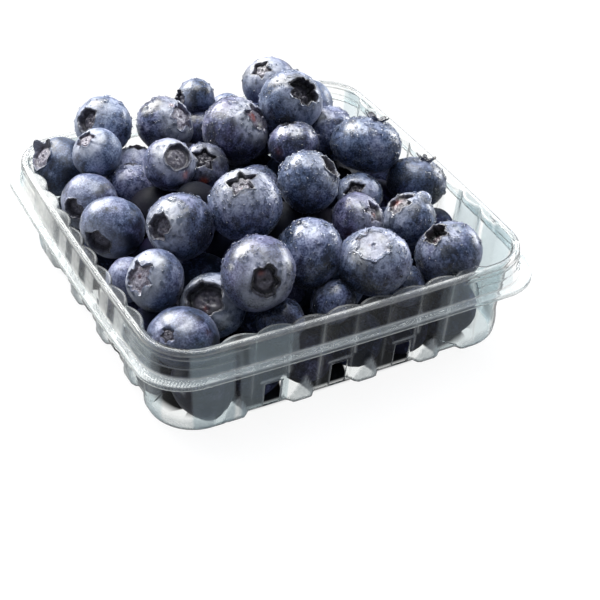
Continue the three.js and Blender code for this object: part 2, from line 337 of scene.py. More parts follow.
def punnet():
    feet = np.array([FOOT + MODULE * m for m in range(MODULES)])
    slots = feet[:3] + SLOT_AT
    cusps = CUSP + 9.5 * np.arange(9)
    fixed = [s + d for s in slots for d in (-SLOT_HALF, SLOT_HALF, 4.05, 4.35, 4.65)]
    fixed += [c + d for c in cusps for d in (-0.3, 0, 0.3)]
    fixed = np.array(sorted(fixed))
    free = np.arange(-38.2, 38.3, 0.8)
    free = free[np.abs(free[:, None] - fixed[None]).min(1) > 0.36]
    along = np.sort(np.concatenate([fixed, free]))
    corner = np.linspace(0, math.pi / 2, 49)
    s = np.concatenate([along, np.full(len(corner), np.nan)])
    angle = np.concatenate([np.full(len(along), np.nan), corner])
    on_side = ~np.isnan(s)
    s0 = np.where(on_side, s, 99.0)
    turn = np.nan_to_num(angle)
    ones = np.ones(len(s))

    d_foot = np.abs(s0[:, None] - feet[None]).min(1)
    foot = smooth01((3.9 - d_foot) / 1.8)
    end = np.where(on_side, smooth01((np.abs(s0) - 34.2) / 1.6), 1.0)  # the corners stand low, like feet
    low_edge = np.maximum(foot, end)
    cell = (s0 - CUSP) / 9.5
    u = (cell - np.floor(cell)) * 2 - 1
    scallop = np.where(on_side & (cell >= 0) & (cell <= 8), 1 - u * u, 0.0)
    shine = (0.1, 0.45, 0.3, 0.9, 0.5, 0.25, 0.7, 0.9, 0.4)
    # painted highlights along the creases at the scallops' cusps, of differing strength
    crease_highlight = sum(k * near(s0, c, 0.30) for k, c in zip(shine, cusps))
    # milky haze with painted reflection on the flat panels by the corners, hardly any on the corners themselves and the
    # middle
    milky = np.select([s0 < -33.3, s0 < -31.6, s0 < -17.9, s0 < 26.0], [1.0, 0.0, 0.9, 0.05], 0.55)
    by_corner = smooth01((0.46 - (math.pi / 2 - turn)) / 0.08) + 0.7 * smooth01((0.46 - turn) / 0.08)
    milky = np.where(on_side, milky, by_corner)

    rows, lines, hazes, frosts = [], [], [], []

    def row(h, r, z, bow, edge_highlight=0.0, haze_and_reflection=0.0, frost_and_reflection=0.0):
        rows.append((h * ones, r * ones, z * ones, bow * ones))
        lines.append(edge_highlight * ones)
        hazes.append(haze_and_reflection * ones)
        frosts.append(frost_and_reflection * ones)

    def wall_row(z):
        k = z / H
        f = 3.3 + (1.7 - 3.3) * low_edge
        inset = np.where(z < f, f - np.sqrt(np.maximum(f * f - (f - z) ** 2, 0)), 0)
        h = WALL + (WALL_TOP - WALL) * k - inset
        # feet: narrow triangles that stand out a little and reach the ground
        wide = 3.4 * (1 - z / 10.5)
        out = smooth01((wide - d_foot) / 1.0 + 0.5) * (z < 10.5)
        out = np.maximum(out, end * smooth01((9.0 - z) / 6.0))
        h = h + 0.9 * out
        h = h - 1.65 * scallop * smooth01((z - 9) / 17)
        # a shallow step over each slot, turned up at its right end, with painted highlights along it and the slot's
        # sides
        step_highlight = 0.0 * s0
        for c in slots:
            dx = s0 - c
            left = smooth01((dx + 4.0) / 0.7)
            right = smooth01((4.7 - dx) / 0.6)
            bottom = 10.45 + 0.04 * dx + 1.6 * smooth01((dx - 3.2) / 1.3)
            h = h - 0.42 * smooth01((z - bottom + 0.3) / 0.6) * left * right * smooth01((21.5 - z) / 5)
            on = (dx > -3.4) & (dx < 3.9)
            step_highlight = np.maximum(step_highlight, np.where(on, 0.6 * near(z, 10.5 + 0.04 * dx, 0.25), 0))
            step_highlight = np.maximum(step_highlight, near(dx, 4.35, 0.3) * smooth01((z - 11.0) / 0.8) * smooth01((22 - z) / 6) * 0.75)
            if SLOT_LOW - 0.01 < z < SLOT_HIGH + 0.01:
                step_highlight = np.maximum(step_highlight, 0.4 * near(np.abs(dx), SLOT_HALF, 0.12))
        # pale frost with painted reflection of the bright floor on the feet and the low corners
        pale = np.where(on_side, 0.95 * smooth01((8.8 * (1 - (d_foot / 4.6)) - z) / 1.2 + 0.5), 0)
        pale = np.maximum(pale, np.where(on_side, 0, 0.8 * smooth01((5.5 - z) / 3)))
        pale = np.maximum(pale, np.where(on_side & (s0 > 0), end * 0.6 * smooth01((5 - z) / 3), 0))
        edge_highlight = np.maximum(0.75 * crease_highlight * (0.35 + 0.65 * smooth01((z - 3) / 6)), step_highlight)
        row(h, WALL_R + 0.4 * k - inset + 0.9 * out * ~on_side, z, 0.2 + 0.5 * k, edge_highlight, milky, pale)

    f0 = 3.3 + (1.7 - 3.3) * low_edge
    row(WALL - f0 + 0.9 * low_edge, WALL_R - f0 + 0.6 * ~on_side, SHEET / 2, 0.2, 0, 0, 0.3)
    first = rows.pop()
    for v in (lines, hazes, frosts):
        v.pop()
    heights = [0.3, 0.48, 0.7, 0.95, 1.25, 1.6, 2.0, 2.5, 3.1, 3.8, 4.6, 5.5, 6.5, 7.6, 8.7, 9.7, 10.1, 10.45, 10.8]
    heights += [11.2, 11.8, 12.8, 14, 15.6, 17.4, 19.2, 21, 22.6, 24.2, 25.6, 26.8, 27.7]
    for z in heights:
        wall_row(z)
    top, top_r = rows[-1][0], rows[-1][1]
    # painted highlights along the ledge's, skirt's and flange's edges and creases, row by row
    peak = 0.3 + 0.7 * scallop
    row(top + 0.12, top_r + 0.1, H - 0.38, BOW, 0.25 * peak)
    row(top + 0.38, top_r + 0.3, H - 0.22, BOW, 0.35 * peak)
    band = np.where(on_side, 0.26, 0.10)  # painted highlight on the ledge's rounded edge, stronger along the sides
    row(top + 0.75, top_r + 0.5, H - 0.20, BOW, 0.02)
    row(np.maximum(top + 0.9, LEDGE - 1.35), LEDGE_R - 1.15, H - 0.20, BOW, 0.05)
    row(LEDGE - 1.05, LEDGE_R - 0.95, H - 0.20, BOW, 0.65)
    row(LEDGE - 0.75, LEDGE_R - 0.70, H - 0.20, BOW, band)
    row(LEDGE - 0.45, LEDGE_R - 0.42, H - 0.24, BOW, band * 0.9)
    row(LEDGE - 0.20, LEDGE_R - 0.2, H - 0.48, BOW, band)
    row(LEDGE - 0.10, LEDGE_R - 0.15, H - 0.85, BOW, 0.2 + band)
    row(LEDGE - 0.09, LEDGE_R - 0.15, H - 1.10, BOW, 0.70)
    row(LEDGE - 0.09, LEDGE_R - 0.15, H - 1.35, BOW, 0.10)
    # painted highlights along two creases of the skirt, towards the corners
    strong = np.where(on_side, smooth01((np.abs(s0) - 30.2) / 1.0), 1.0)
    weak = np.where(on_side, smooth01((np.abs(s0) - 33.5) / 3), 1.0)
    for z in (26.8, 26.45, 26.2, 25.95, 25.2, 24.2, 23.9, 23.6, 22.8, 22.0):
        lean = (H - 1 - z) / 6.4 * 0.85
        c1, c2 = strong * (z == 26.2), weak * (z == 23.9)
        row(LEDGE - 0.1 + lean - 0.16 * (c1 + c2), LEDGE_R, z, BOW, 0.8 * c1 + 0.45 * c2, 0.8 * milky)
    row(LEDGE + 0.92, LEDGE_R, 21.52, BOW, 0.65)
    row(LEDGE + 1.05, LEDGE_R, 21.34, BOW, 0.35, 0.3)
    row(LEDGE + 1.35, LEDGE_R - 0.1, 21.22, BOW, 0.10, 0.4)
    row(LEDGE + 1.8, LEDGE_R - 0.3, 21.15, BOW, 0.08, 0.4)
    row(LEDGE + 2.2, LEDGE_R - 0.4, 21.08, BOW, 0.08, 0.4)
    row(56.62, FLANGE_R - 0.2, 20.98, BOW, 0.30, 0.4)
    row(56.78, FLANGE_R, 20.82, BOW, 0.25, 0.5)
    row(56.80, FLANGE_R, 20.5, BOW, 0.06, 0.4)
    row(56.80, FLANGE_R, 20.15, BOW, 0.15, 0.4)
    row(56.80, FLANGE_R, 19.9, BOW, 0.85)

    def place(h, r, z, bow):
        straight = h - r
        x = np.where(on_side, s0, straight + r * np.sin(turn))
        y = np.where(on_side, -(h + bow * (1 - (s0 / np.maximum(straight, 39)) ** 2)), -straight - r * np.cos(turn))
        out = []
        for k in range(4):
            out.append(np.c_[x, y, z])
            x, y = -y, x
        return np.concatenate(out)

    edge = place(*first)
    spread = (0.3, 0.6, 0.8, 0.92, 1.0)
    flat = [np.c_[edge[:, :2] * k, edge[:, 2]] for k in spread]
    grid = np.array(flat + [place(*r) for r in rows])
    zero = np.zeros(4 * len(s))
    edge_highlight = np.array([zero] * len(spread) + [np.tile(v, 4) for v in lines])
    haze_and_reflection = np.array([zero] * len(spread) + [np.tile(v, 4) for v in hazes])
    frost_and_reflection = np.array([zero] * len(spread) + [np.tile(v, 4) for v in frosts])
    # painted glare: the left side is whitened towards its far end, and along its skirt between short clear dashes
    here = 3 * len(s) + np.arange(len(s))
    far = on_side * smooth01((-10 - s0) / 12)
    dashes = smooth01((np.sin(s0 * 2 * math.pi / 9.5 + 0.8) + 0.35) / 0.5)
    painted_glare = on_side * smooth01((40 - s0) / 8) * np.maximum(0.62 * dashes, 0.8 * far)
    for k in range(-20, -10):
        edge_highlight[k, here] = np.maximum(edge_highlight[k, here], painted_glare)
        haze_and_reflection[k, here] = haze_and_reflection[k, here] * (1 - 0.8 * far)
    for k in range(len(spread), len(edge_highlight) - 20):
        edge_highlight[k, here] = np.maximum(edge_highlight[k, here], 0.45 * far)
        haze_and_reflection[k, here] = haze_and_reflection[k, here] * (1 - 0.8 * far)
    # a fine vertical grip on the flange's corners, with painted highlights on every other rib
    n_side, n_corner = len(along), len(corner)
    station = np.tile(np.concatenate([np.zeros(n_side), np.arange(n_corner)]), 4)
    is_corner = np.tile(np.concatenate([np.zeros(n_side), np.ones(n_corner)]), 4)
    grip = 0.07 * is_corner * np.where(station % 2 == 0, 1, -1)
    for k in (-6, -5, -4):
        grid[k, :, 2] += grip
    for k in (-7, -6, -5, -3, -2):
        edge_highlight[k] += 0.35 * is_corner * (station % 2 == 0)
    d_row = np.empty_like(grid)
    d_row[1:-1] = grid[2:] - grid[:-2]
    d_row[0], d_row[-1] = grid[1] - grid[0], grid[-1] - grid[-2]
    d_st = np.roll(grid, -1, 1) - np.roll(grid, 1, 1)
    normal = np.cross(d_row, d_st)
    normal /= np.linalg.norm(normal, axis=2, keepdims=True)
    inner = grid + normal * SHEET / 2
    outer = grid - normal * SHEET / 2
    R, S = grid.shape[:2]
    points = np.concatenate([inner.reshape(-1, 3), outer.reshape(-1, 3), [[0, 0, SHEET]], [[0, 0, 0]]])
    off = R * S
    low_row = len(flat) + heights.index(SLOT_LOW)
    high_row = len(flat) + heights.index(SLOT_HIGH)
    cut = np.zeros((R - 1, S), bool)
    for k in range(4):
        for c in slots:
            inside = (along[:-1] > c - SLOT_HALF - 0.01) & (along[1:] < c + SLOT_HALF + 0.01)
            for i in np.where(inside)[0]:
                cut[low_row:high_row, k * (n_side + n_corner) + i] = True
    faces = []
    for r in range(R - 1):
        for j in range(S):
            j2 = (j + 1) % S
            if cut[r, j]:
                for (ra, ja, rb, jb, rn, jn) in (
                    (r, j, r, j2, r - 1, j),
                    (r + 1, j, r + 1, j2, r + 1, j),
                    (r, j, r + 1, j, r, (j - 1) % S),
                    (r, j2, r + 1, j2, r, j2),
                ):
                    if not cut[rn, jn]:
                        p, q = ra * S + ja, rb * S + jb
                        faces.append((p, q, q + off, p + off))
                continue
            a, b_, c_, d_ = r * S + j, (r + 1) * S + j, (r + 1) * S + j2, r * S + j2
            faces.append((a, b_, c_, d_))
            faces.append((a + off, d_ + off, c_ + off, b_ + off))
    for j in range(S):
        j2 = (j + 1) % S
        faces.append((2 * off, j, j2))
        faces.append((2 * off + 1, off + j2, off + j))
        p, q = (R - 1) * S + j, (R - 1) * S + j2
        faces.append((p, p + off, q + off, q))
    att = {
        k: np.clip(np.concatenate([v.ravel(), v.ravel(), [0, 0]]), 0, 1)
        for k, v in (("edge_highlight", edge_highlight), ("haze_and_reflection", haze_and_reflection), ("frost_and_reflection", frost_and_reflection))
    }
    return add_mesh("punnet_sheet", points, faces, PLASTIC, att, fix=True)


# ---------------------------------------------------------------- the berries
# The crown: depth of its cup, how far its disc stands up in it (share of the depth), how far the sepals
# fold in over the cup, their height, how far they flare out, how broad they are (low: broad, with
# narrow notches between), the width of the cup as a share of the crown, and how ragged its edge is.
STYLES = {
    "open": (0.22, 0.35, 0.14, 0.060, 0.05, 1.0, 0.90, 0.06),
    "deep": (0.34, 0.12, 0.10, 0.050, 0.00, 1.0, 0.95, 0.12),
    "spiky": (0.16, 0.50, 0.12, 0.150, 0.18, 1.5, 0.80, 0.10),
    "star": (0.17, 0.62, 0.46, 0.035, 0.00, 0.55, 1.00, 0.05),
    "ring": (0.11, 0.55, 0.05, 0.065, 0.02, 0.8, 0.88, 0.03),
    "dome": (0.006, 0.95, 0.00, 0.000, 0.00, 0.7, 1.00, 0.10),
    "big": (0.10, 0.75, 0.00, 0.185, 0.42, 1.4, 0.74, 0.04),
    "groove": (0.15, 0.60, 0.36, 0.060, 0.00, 0.6, 0.95, 0.08),
    "small": (0.09, 0.50, 0.25, 0.040, 0.02, 0.8, 0.85, 0.10),
    "torn": (0.09, 0.75, 0.26, 0.060, 0.06, 0.9, 0.95, 0.12),
    "wide": (0.30, 0.25, 0.08, 0.045, 0.02, 1.0, 0.95, 0.05),
    "calyx": (0.12, 0.55, 0.20, 0.035, 0.10, 1.3, 0.92, 0.07),
    "flower": (0.050, 0.85, 0.20, 0.030, 0.05, 0.9, 0.95, 0.15),
    "scar": (0.035, 0.80, 0.30, 0.010, 0.02, 0.7, 0.95, 0.12),
    "leaf": (0.08, 0.40, 0.00, 0.170, 0.85, 0.9, 0.62, 0.05),
}
# How dark the painted shade in the groove of each style is; where it isn't named, light mostly reaches into it.
GROOVE_SHADE = {"deep": 1.0, "wide": 0.95, "star": 0.8, "spiky": 0.8, "calyx": 0.9, "leaf": 1.0}
# One row a berry: centre (mm, over the ledge), radius, then the crown: where it shows from the front
# (across, down, in radii; None: faces away), its half width in radii, its style, then flatness, bloom (low on the
# berries down behind the walls, as painted shade), warmth, paleness of the crown's disc, halo, redness, wetness.
SEEN = {
    1: (-43.0, 41.7, -2.6, 8.1, -0.60, -0.30, 0.60, "big", 0.88, 0.36, 0.0, 1.00, 0.1, 0.0, 0.0),
    2: (-30.0, 40.5, 8.1, 8.0, -0.51, -0.12, 0.44, "open", 0.90, 0.66, 0.1, 0.55, 0.4, 0.0, 0.3),
    3: (-36.9, 28.1, 7.8, 6.7, -0.43, -0.46, 0.42, "torn", 0.90, 0.62, 0.1, 1.00, 0.9, 0.0, 0.0),
    4: (-12.9, 37.3, 6.0, 8.1, 0.66, -0.24, 0.50, "torn", 0.86, 0.46, 0.4, 1.00, 0.9, 0.0, 0.8),
    5: (0.6, 45.8, 7.0, 5.7, -0.74, 0.04, 0.46, "spiky", 0.90, 0.42, 0.1, 0.60, 0.3, 0.0, 0.4),
    6: (10.3, 44.1, 1.0, 5.6, None, None, 0.35, "open", 0.90, 0.60, 0.3, 0.10, 0.2, 0.0, 0.1),
    7: (1.1, 19.9, 10.4, 9.3, 0.68, -0.32, 0.46, "flower", 0.86, 0.40, 0.7, 1.00, 1.0, 0.0, 0.9),
    8: (23.0, 42.2, 9.1, 7.7, -0.31, -0.46, 0.42, "star", 0.90, 0.66, 0.4, 0.75, 0.7, 0.0, 0.2),
    9: (17.5, 18.9, 16.7, 8.6, 0.44, -0.20, 0.46, "deep", 0.92, 0.50, 0.1, 0.20, 0.4, 0.0, 0.6),
    10: (28.6, 29.0, 7.7, 7.3, None, None, 0.35, "open", 0.90, 0.60, 0.2, 0.10, 0.2, 0.0, 0.2),
    11: (-24.2, 32.1, -2.4, 6.5, 0.10, -0.85, 0.38, "open", 0.90, 0.70, 0.4, 0.20, 0.4, 0.4, 0.1),
    12: (-23.7, 9.7, 11.0, 6.9, 0.42, -0.27, 0.58, "ring", 0.88, 0.54, 0.6, 0.35, 0.8, 0.0, 0.2),
    13: (-11.6, 13.1, 5.6, 6.3, 0.07, -0.26, 0.52, "star", 0.90, 0.34, 0.5, 0.00, 0.3, 0.0, 0.6),
    14: (12.3, 6.4, 10.5, 6.7, -0.20, -0.86, 0.42, "small", 0.86, 0.34, 0.55, 0.10, 0.2, 0.0, 1.0),
    15: (5.7, -14.3, 12.0, 8.4, 0.72, -0.50, 0.48, "open", 0.92, 0.42, 0.1, 0.30, 0.5, 0.0, 1.0),
    16: (32.0, -0.2, 9.3, 9.3, 0.25, -0.84, 0.36, "leaf", 0.86, 0.46, 0.0, 0.10, 0.2, 0.0, 0.9),
    17: (27.9, 14.7, 5.5, 7.7, None, None, 0.40, "star", 0.90, 0.55, 0.4, 0.60, 0.6, 0.3, 0.9),
    18: (42.0, -11.0, 0.8, 8.3, 0.30, -0.80, 0.30, "leaf", 0.90, 0.26, 0.0, 0.10, 0.2, 0.0, 0.4),
    19: (23.6, -11.2, 1.0, 6.3, -0.22, -0.15, 0.46, "star", 0.90, 0.48, 0.1, 0.00, 0.3, 0.0, 0.5),
    20: (14.1, -26.3, 5.0, 6.8, 0.62, -0.25, 0.46, "groove", 0.88, 0.40, 0.9, 0.80, 0.5, 0.0, 0.7),
    21: (29.4, -28.3, 2.2, 7.0, -0.42, -0.62, 0.52, "torn", 0.90, 0.50, 0.1, 0.10, 0.6, 0.0, 0.7),
    22: (-0.3, 40.1, -0.5, 6.4, None, None, 0.35, "open", 0.92, 0.15, 0.3, 0.10, 0.2, 0.0, 0.2),
    23: (32.5, -42.8, -0.5, 8.5, -0.43, -0.60, 0.40, "deep", 0.90, 0.40, 0.2, 0.00, 0.3, 0.0, 0.6),
    24: (9.8, -42.8, 3.8, 9.1, -0.05, -0.49, 0.46, "dome", 0.88, 0.48, 0.2, 0.60, 0.4, 0.0, 0.8),
    25: (-4.3, -33.1, 3.9, 8.9, None, None, 0.40, "open", 0.92, 0.42, 0.2, 0.10, 0.2, 0.0, 1.0),
    26: (-21.8, -39.7, 7.6, 9.1, 0.22, 0.24, 0.42, "calyx", 0.94, 0.36, 0.6, 0.15, 0.6, 0.0, 0.35),
    27: (-14.2, -17.2, 12.0, 9.6, -0.09, -0.58, 0.44, "star", 0.92, 0.44, 0.3, 0.60, 0.6, 0.0, 0.9),
    28: (-31.1, -13.9, 8.0, 8.6, -0.57, 0.07, 0.44, "open", 0.94, 0.38, 0.3, 0.70, 0.9, 0.0, 0.5),
    29: (-30.2, 21.1, -0.6, 6.6, 0.00, -0.90, 0.30, "small", 0.92, 0.46, 0.5, 0.10, 0.3, 0.0, 0.8),
    30: (-43.6, 18.1, -0.5, 7.7, -0.44, 0.28, 0.40, "open", 0.90, 0.58, 0.4, 0.60, 0.3, 0.0, 0.0),
    31: (-43.1, 2.6, 0.8, 8.3, -0.36, 0.53, 0.44, "open", 0.92, 0.42, 0.2, 0.60, 0.4, 0.0, 0.0),
    32: (-45.0, -11.6, -6.1, 5.8, None, None, 0.35, "open", 0.92, 0.62, 0.5, 0.10, 0.2, 0.0, 0.0),
    33: (-42.6, -23.8, 1.0, 7.4, -0.48, -0.08, 0.52, "flower", 0.90, 0.44, 0.2, 1.00, 1.0, 0.0, 0.2),
    34: (-41.9, -39.3, -6.4, 9.0, -0.33, -0.10, 0.24, "scar", 0.92, 0.42, 0.3, 0.30, 0.2, 0.0, 0.0),
    35: (-30.3, -32.5, -5.0, 8.3, -0.26, -0.21, 0.58, "wide", 0.92, 0.50, 0.0, 0.15, 0.9, 0.0, 0.8),
    36: (-17.3, -44.0, -5.6, 6.0, None, None, 0.35, "open", 0.92, 0.28, 0.3, 0.10, 0.2, 0.0, 0.3),
    37: (-2.2, -44.0, -5.0, 5.7, None, None, 0.35, "open", 0.92, 0.35, 0.3, 0.10, 0.2, 0.0, 0.6),
    38: (-2.0, 0.2, 3.0, 6.5, None, None, 0.35, "open", 0.92, 0.20, 0.3, 0.10, 0.2, 0.0, 0.4),
    39: (19.6, -42.5, -7.0, 5.8, None, None, 0.35, "open", 0.92, 0.25, 0.2, 0.10, 0.2, 0.0, 0.3),
    40: (-37.5, -41.7, -20.0, 8.1, None, None, 0.35, "open", 0.94, -0.02, 0.8, 0.10, 0.0, 0.0, 0.0),
    41: (34.5, -41.9, -18.6, 8.2, None, None, 0.35, "open", 0.94, 0.08, 0.2, 0.10, 0.0, 0.0, 0.0),
    42: (-23.6, -41.8, -20.2, 7.9, None, None, 0.35, "open", 0.94, 0.08, 0.3, 0.10, 0.0, 0.0, 0.0),
    43: (-8.6, -42.2, -20.6, 7.5, None, None, 0.35, "open", 0.94, 0.08, 0.5, 0.10, 0.0, 0.0, 0.0),
    44: (6.0, -42.0, -20.4, 7.7, None, None, 0.35, "open", 0.94, 0.08, 0.2, 0.10, 0.0, 0.0, 0.0),
    45: (20.4, -42.2, -20.6, 7.5, None, None, 0.35, "open", 0.94, 0.08, 0.4, 0.10, 0.0, 0.0, 0.0),
    46: (-45.2, -30.5, -22.6, 5.6, None, None, 0.35, "open", 0.94, -0.05, 0.5, 0.10, 0.0, 0.0, 0.0),
}


# Touches that the picture shows on single berries: berry, place in the picture, radius in pixels, then the change of
# bloom (less paints shade, more a lighter patch), and the strength of painted highlight with pale wax, of red and of
# painted shade in dark holes.
TOUCHES = [
    (1, 66, 160, 8, 0.15, 0.2, 0, 0), (1, 72, 176, 12, -0.35, 0, 0, 0), (1, 43, 158, 2, 0, 0, 0, 0.9),
    (2, 110, 104, 8, 0.2, 0.2, 0, 0), (2, 127, 132, 9, -0.5, 0, 0, 0), (2, 122, 116, 4, -0.3, 0, 0, 0),
    (3, 100, 139, 6, 0.1, 0.4, 0, 0), (3, 110, 170, 9, -0.4, 0, 0, 0),
    (4, 144, 111, 4, 0, 0.7, 0, 0), (4, 164, 138, 11, -0.5, 0, 0, 0), (4, 172, 105, 2.5, 0, 0.2, 0.7, 0),
    (4, 144, 132, 7, -0.35, 0, 0, 0), (4, 158, 101, 7, 0.1, 0.3, 0, 0),
    (5, 186, 86, 5, 0, 0.5, 0, 0), (5, 202, 82, 3, -0.8, 0, 0, 0.5), (5, 207, 91, 3, -0.8, 0, 0, 0.3), (5, 201, 111, 7, -0.6, 0, 0, 0),
    (7, 253, 117, 3.8, 0, 0, 2.0, 0), (7, 260, 126, 4, 0, 0.9, 0, 0), (7, 265, 137, 4, 0, 0.7, 0, 0),
    (7, 248, 107, 4, 0, 0.8, 0, 0), (7, 224, 113, 8, 0, 0.35, 0, 0), (7, 237, 157, 12, -0.5, 0, 0, 0),
    (8, 264, 66, 8, 0, 0.5, 0, 0), (8, 289, 66, 8, -0.6, 0, 0, 0), (8, 255, 98, 7, -0.3, 0, 0, 0), (8, 256, 83, 1.5, 0, 0, 0, 0.8),
    (9, 283, 80, 8, 0, 0.4, 0, 0), (9, 284, 121, 8, -0.5, 0, 0, 0), (9, 266, 101, 4, 0.2, 0, 0, 0),
    (11, 126, 147, 2.5, 0, 0, 0.9, 0), (11, 134, 152, 5, 0.1, 0.3, 0, 0),
    (12, 175, 170, 2.5, 0, 0.8, 0.2, 0), (12, 186, 175, 4, 0, 0, 1.6, 0), (12, 160, 153, 6, 0, 0.4, 0, 0), (12, 165, 188, 7, -0.4, 0, 0, 0),
    (13, 204, 182, 4, 0, 0, 1.6, 0), (13, 221, 160, 8, -0.8, 0, 0, 0), (13, 195, 147, 4, 0, 0.5, 0, 0), (13, 205, 178, 8, -0.6, 0, 0, 0),
    (14, 279, 151, 4.5, -0.2, 0, 0.3, 0), (14, 298, 133, 7, 0, 0.3, 0, 0), (14, 280, 158, 7, -0.6, 0, 0, 0),
    (15, 292, 156, 9, 0.1, 0.35, 0, 0), (15, 309, 208, 13, -0.5, 0, 0, 0), (15, 338, 193, 5, 0.3, 0, 0, 0),
    (16, 352, 126, 9, 0.1, 0.45, 0, 0), (16, 361, 167, 15, -0.5, 0, 0, 0), (16, 394, 160, 8, -0.3, 0, 0, 0),
    (17, 328, 150, 9, -0.4, 0, 0, 0), (17, 322, 118, 7, 0.2, 0.5, 0, 0),
    (18, 394, 184, 14, -0.6, 0, 0, 0), (18, 416, 172, 7, 0.25, 0.15, 0, 0), (18, 436, 197, 8, -0.5, 0, 0, 0),
    (19, 347, 176, 5, 0, 0.3, 0, 0), (19, 370, 204, 7, -0.4, 0, 0, 0),
    (20, 379, 214, 4, 0, 1.0, 0, 0), (20, 362, 207, 4, 0, 0.6, 0, 0), (20, 374, 214.5, 2.2, 0, 0, 1.0, 0.4), (20, 350, 236, 9, -0.3, 0, 0.15, 0),
    (21, 397, 204, 5, 0, 0, 0.8, 0), (21, 435, 214, 4, 0, 0.6, 0, 0), (21, 407, 240, 8, -0.4, 0, 0, 0), (21, 400, 197, 4, 0, 0.5, 0, 0),
    (23, 432, 242, 9, -0.7, 0, 0.2, 0), (23, 441, 231, 4, -0.3, 0, 0.1, 0.95), (23, 421, 267, 10, -0.6, 0, 0, 0), (23, 449, 233, 1.8, 0, 0, 0, 1.0), (23, 437, 236, 5, -0.6, 0, 0.2, 0.8), (23, 455, 228, 5, 0.2, 0.4, 0, 0),
    (24, 360, 251, 11, 0.1, 0.5, 0, 0), (24, 379, 238, 8, 0, 0.35, 0, 0), (24, 367, 291, 17, -0.5, 0, 0, 0), (24, 346, 274, 5, -0.4, 0, 0, 0),
    (24, 358.5, 239, 1.6, 0, 0, 0.3, 0.9), (24, 362, 236, 1.6, 0, 0, 0, 1.0), (24, 366, 233.5, 1.6, 0, 0, 0.3, 1.0), (24, 371, 231.5, 1.8, 0, 0, 0, 0.9), (24, 360, 250.5, 1.6, 0, 0, 0, 0.8), (24, 369, 245, 1.5, 0, 0, 0.3, 0.7), (24, 382, 238, 2.2, 0, 0, 0, 0.7), (24, 375, 245, 1.2, 0, 0, 0, 0.6),
    (25, 316, 229, 8, 0.35, 0.25, 0, 0), (25, 302, 287, 17, -0.5, 0, 0, 0), (25, 329, 262, 8, -0.4, 0, 0, 0),
    (26, 232, 267, 3.5, 0.1, 1.0, 0, 0), (26, 240, 253, 7, 0.1, 0.7, 0, 0), (26, 288, 262, 5, 0.1, 0.6, 0, 0), (26, 258, 304, 8, -0.3, 0, 0, 0),
    (26, 261, 273, 3.5, 0, 0, 0.6, 0),
    (27, 236, 172, 10, 0.1, 0.75, 0, 0), (27, 262, 176, 6, 0, 0.5, 0, 0), (27, 243, 190, 2, 0, 0, 0.9, 0), (27, 232, 228, 10, -0.3, 0, 0, 0),
    (28, 168, 205, 9, 0.1, 0.45, 0, 0), (28, 206, 238, 11, -0.7, 0, 0, 0), (28, 208, 215, 6, -0.5, 0, 0, 0), (28, 154, 222, 3.5, 0, 0, 0, 0.9),
    (28, 167, 228, 1.8, 0, 0, 0, 0.9), (28, 171, 218, 4, 0.1, 0.4, 0, 0),
    (29, 122, 176, 5, 0.2, 0.4, 0, 0), (29, 148, 203, 9, -0.7, 0, 0, 0),
    (30, 98, 188, 8, 0.1, 0.3, 0, 0), (30, 69, 206, 3, 0, 0, 0, 0.9),
    (31, 96, 206, 7, 0.1, 0.5, 0, 0), (31, 133, 240, 12, -0.6, 0, 0, 0), (31, 107, 208.5, 1.6, -0.6, 0, 0, 0.6), (31, 116, 209, 1.8, -0.6, 0, 0, 0.6),
    (31, 93, 241, 3.5, 0, 0, 0, 0.9),
    (33, 181, 292, 9, -0.8, 0, 0, 0), (33, 150, 311, 8, -0.5, 0, 0, 0), (33, 138, 297, 4, 0.2, 0.4, 0, 0), (33, 160, 262, 6, 0.1, 0.5, 0, 0),
    (33, 142, 267.5, 1.7, 0, 0, 0, 1.0), (33, 133, 279, 2, 0, 0, 0, 1.0), (33, 129, 284, 1.6, 0, 0, 0, 1.0), (33, 140, 276, 2, 0, 0, 0.4, 0),
    (34, 167, 318, 7, 0.1, 0.45, 0, 0), (34, 186, 325, 8, 0.1, 0.45, 0, 0), (34, 199, 318, 4.5, -0.7, 0, 0, 0), (34, 208, 332, 4, 0, 0, 0.15, 0),
    (34, 215, 340, 6, -0.6, 0, 0, 0),
    (35, 227, 321, 6, 0.2, 0.35, 0, 0), (35, 243, 318, 6, -0.5, 0, 0, 0), (35, 197, 279, 6, 0.2, 0.6, 0, 0), (35, 206, 308, 2.5, 0, 0, 0.6, 0),
    (35, 215, 310, 4, 0, 0.25, 0, 0), (35, 224, 307, 2, 0, 0.9, 0, 0),
    (40, 182.5, 394, 3, 0.4, 0.9, 0, 0),
]
# Berries whose sepals have dried nearly black, and one whose groove has painted shade on one side only
# (across, down).
DRY = {16: 1.0, 18: 1.0, 5: 0.9, 26: 0.75, 23: 0.8, 9: 0.8, 11: 0.8, 14: 0.6, 1: 0.25, 35: 0.3}
# Berries whose sepals and groove are pale with wax: how much of their sepal colour and painted groove shade is left.
SOFT = {3: 0.45, 4: 0.35, 7: 0.3, 33: 0.3, 20: 0.45, 24: 0.2, 1: 0.7, 34: 0.4}
# Berries below that show in gaps: place in the picture, and their bloom, low values painting them dark as shade (None:
# left out).
GAPS = [
    (136, 138, None), (445, 215, None), (290, 222, -0.8), (286, 214, -0.8), (144, 195, -0.8), (150, 190, -0.8), (206, 182, -0.8), (200, 190, -0.8), (180, 188, -0.8), (340, 270, 0.5),
    (307, 295, 0.3), (147, 205, -0.8), (200, 250, -0.6), (180, 255, -0.4), (345, 170, -0.8), (327, 212, -0.8),
]
SHADED_SIDE = {24: (-0.62, -0.78)}


def unit(v):
    return v / np.linalg.norm(v)


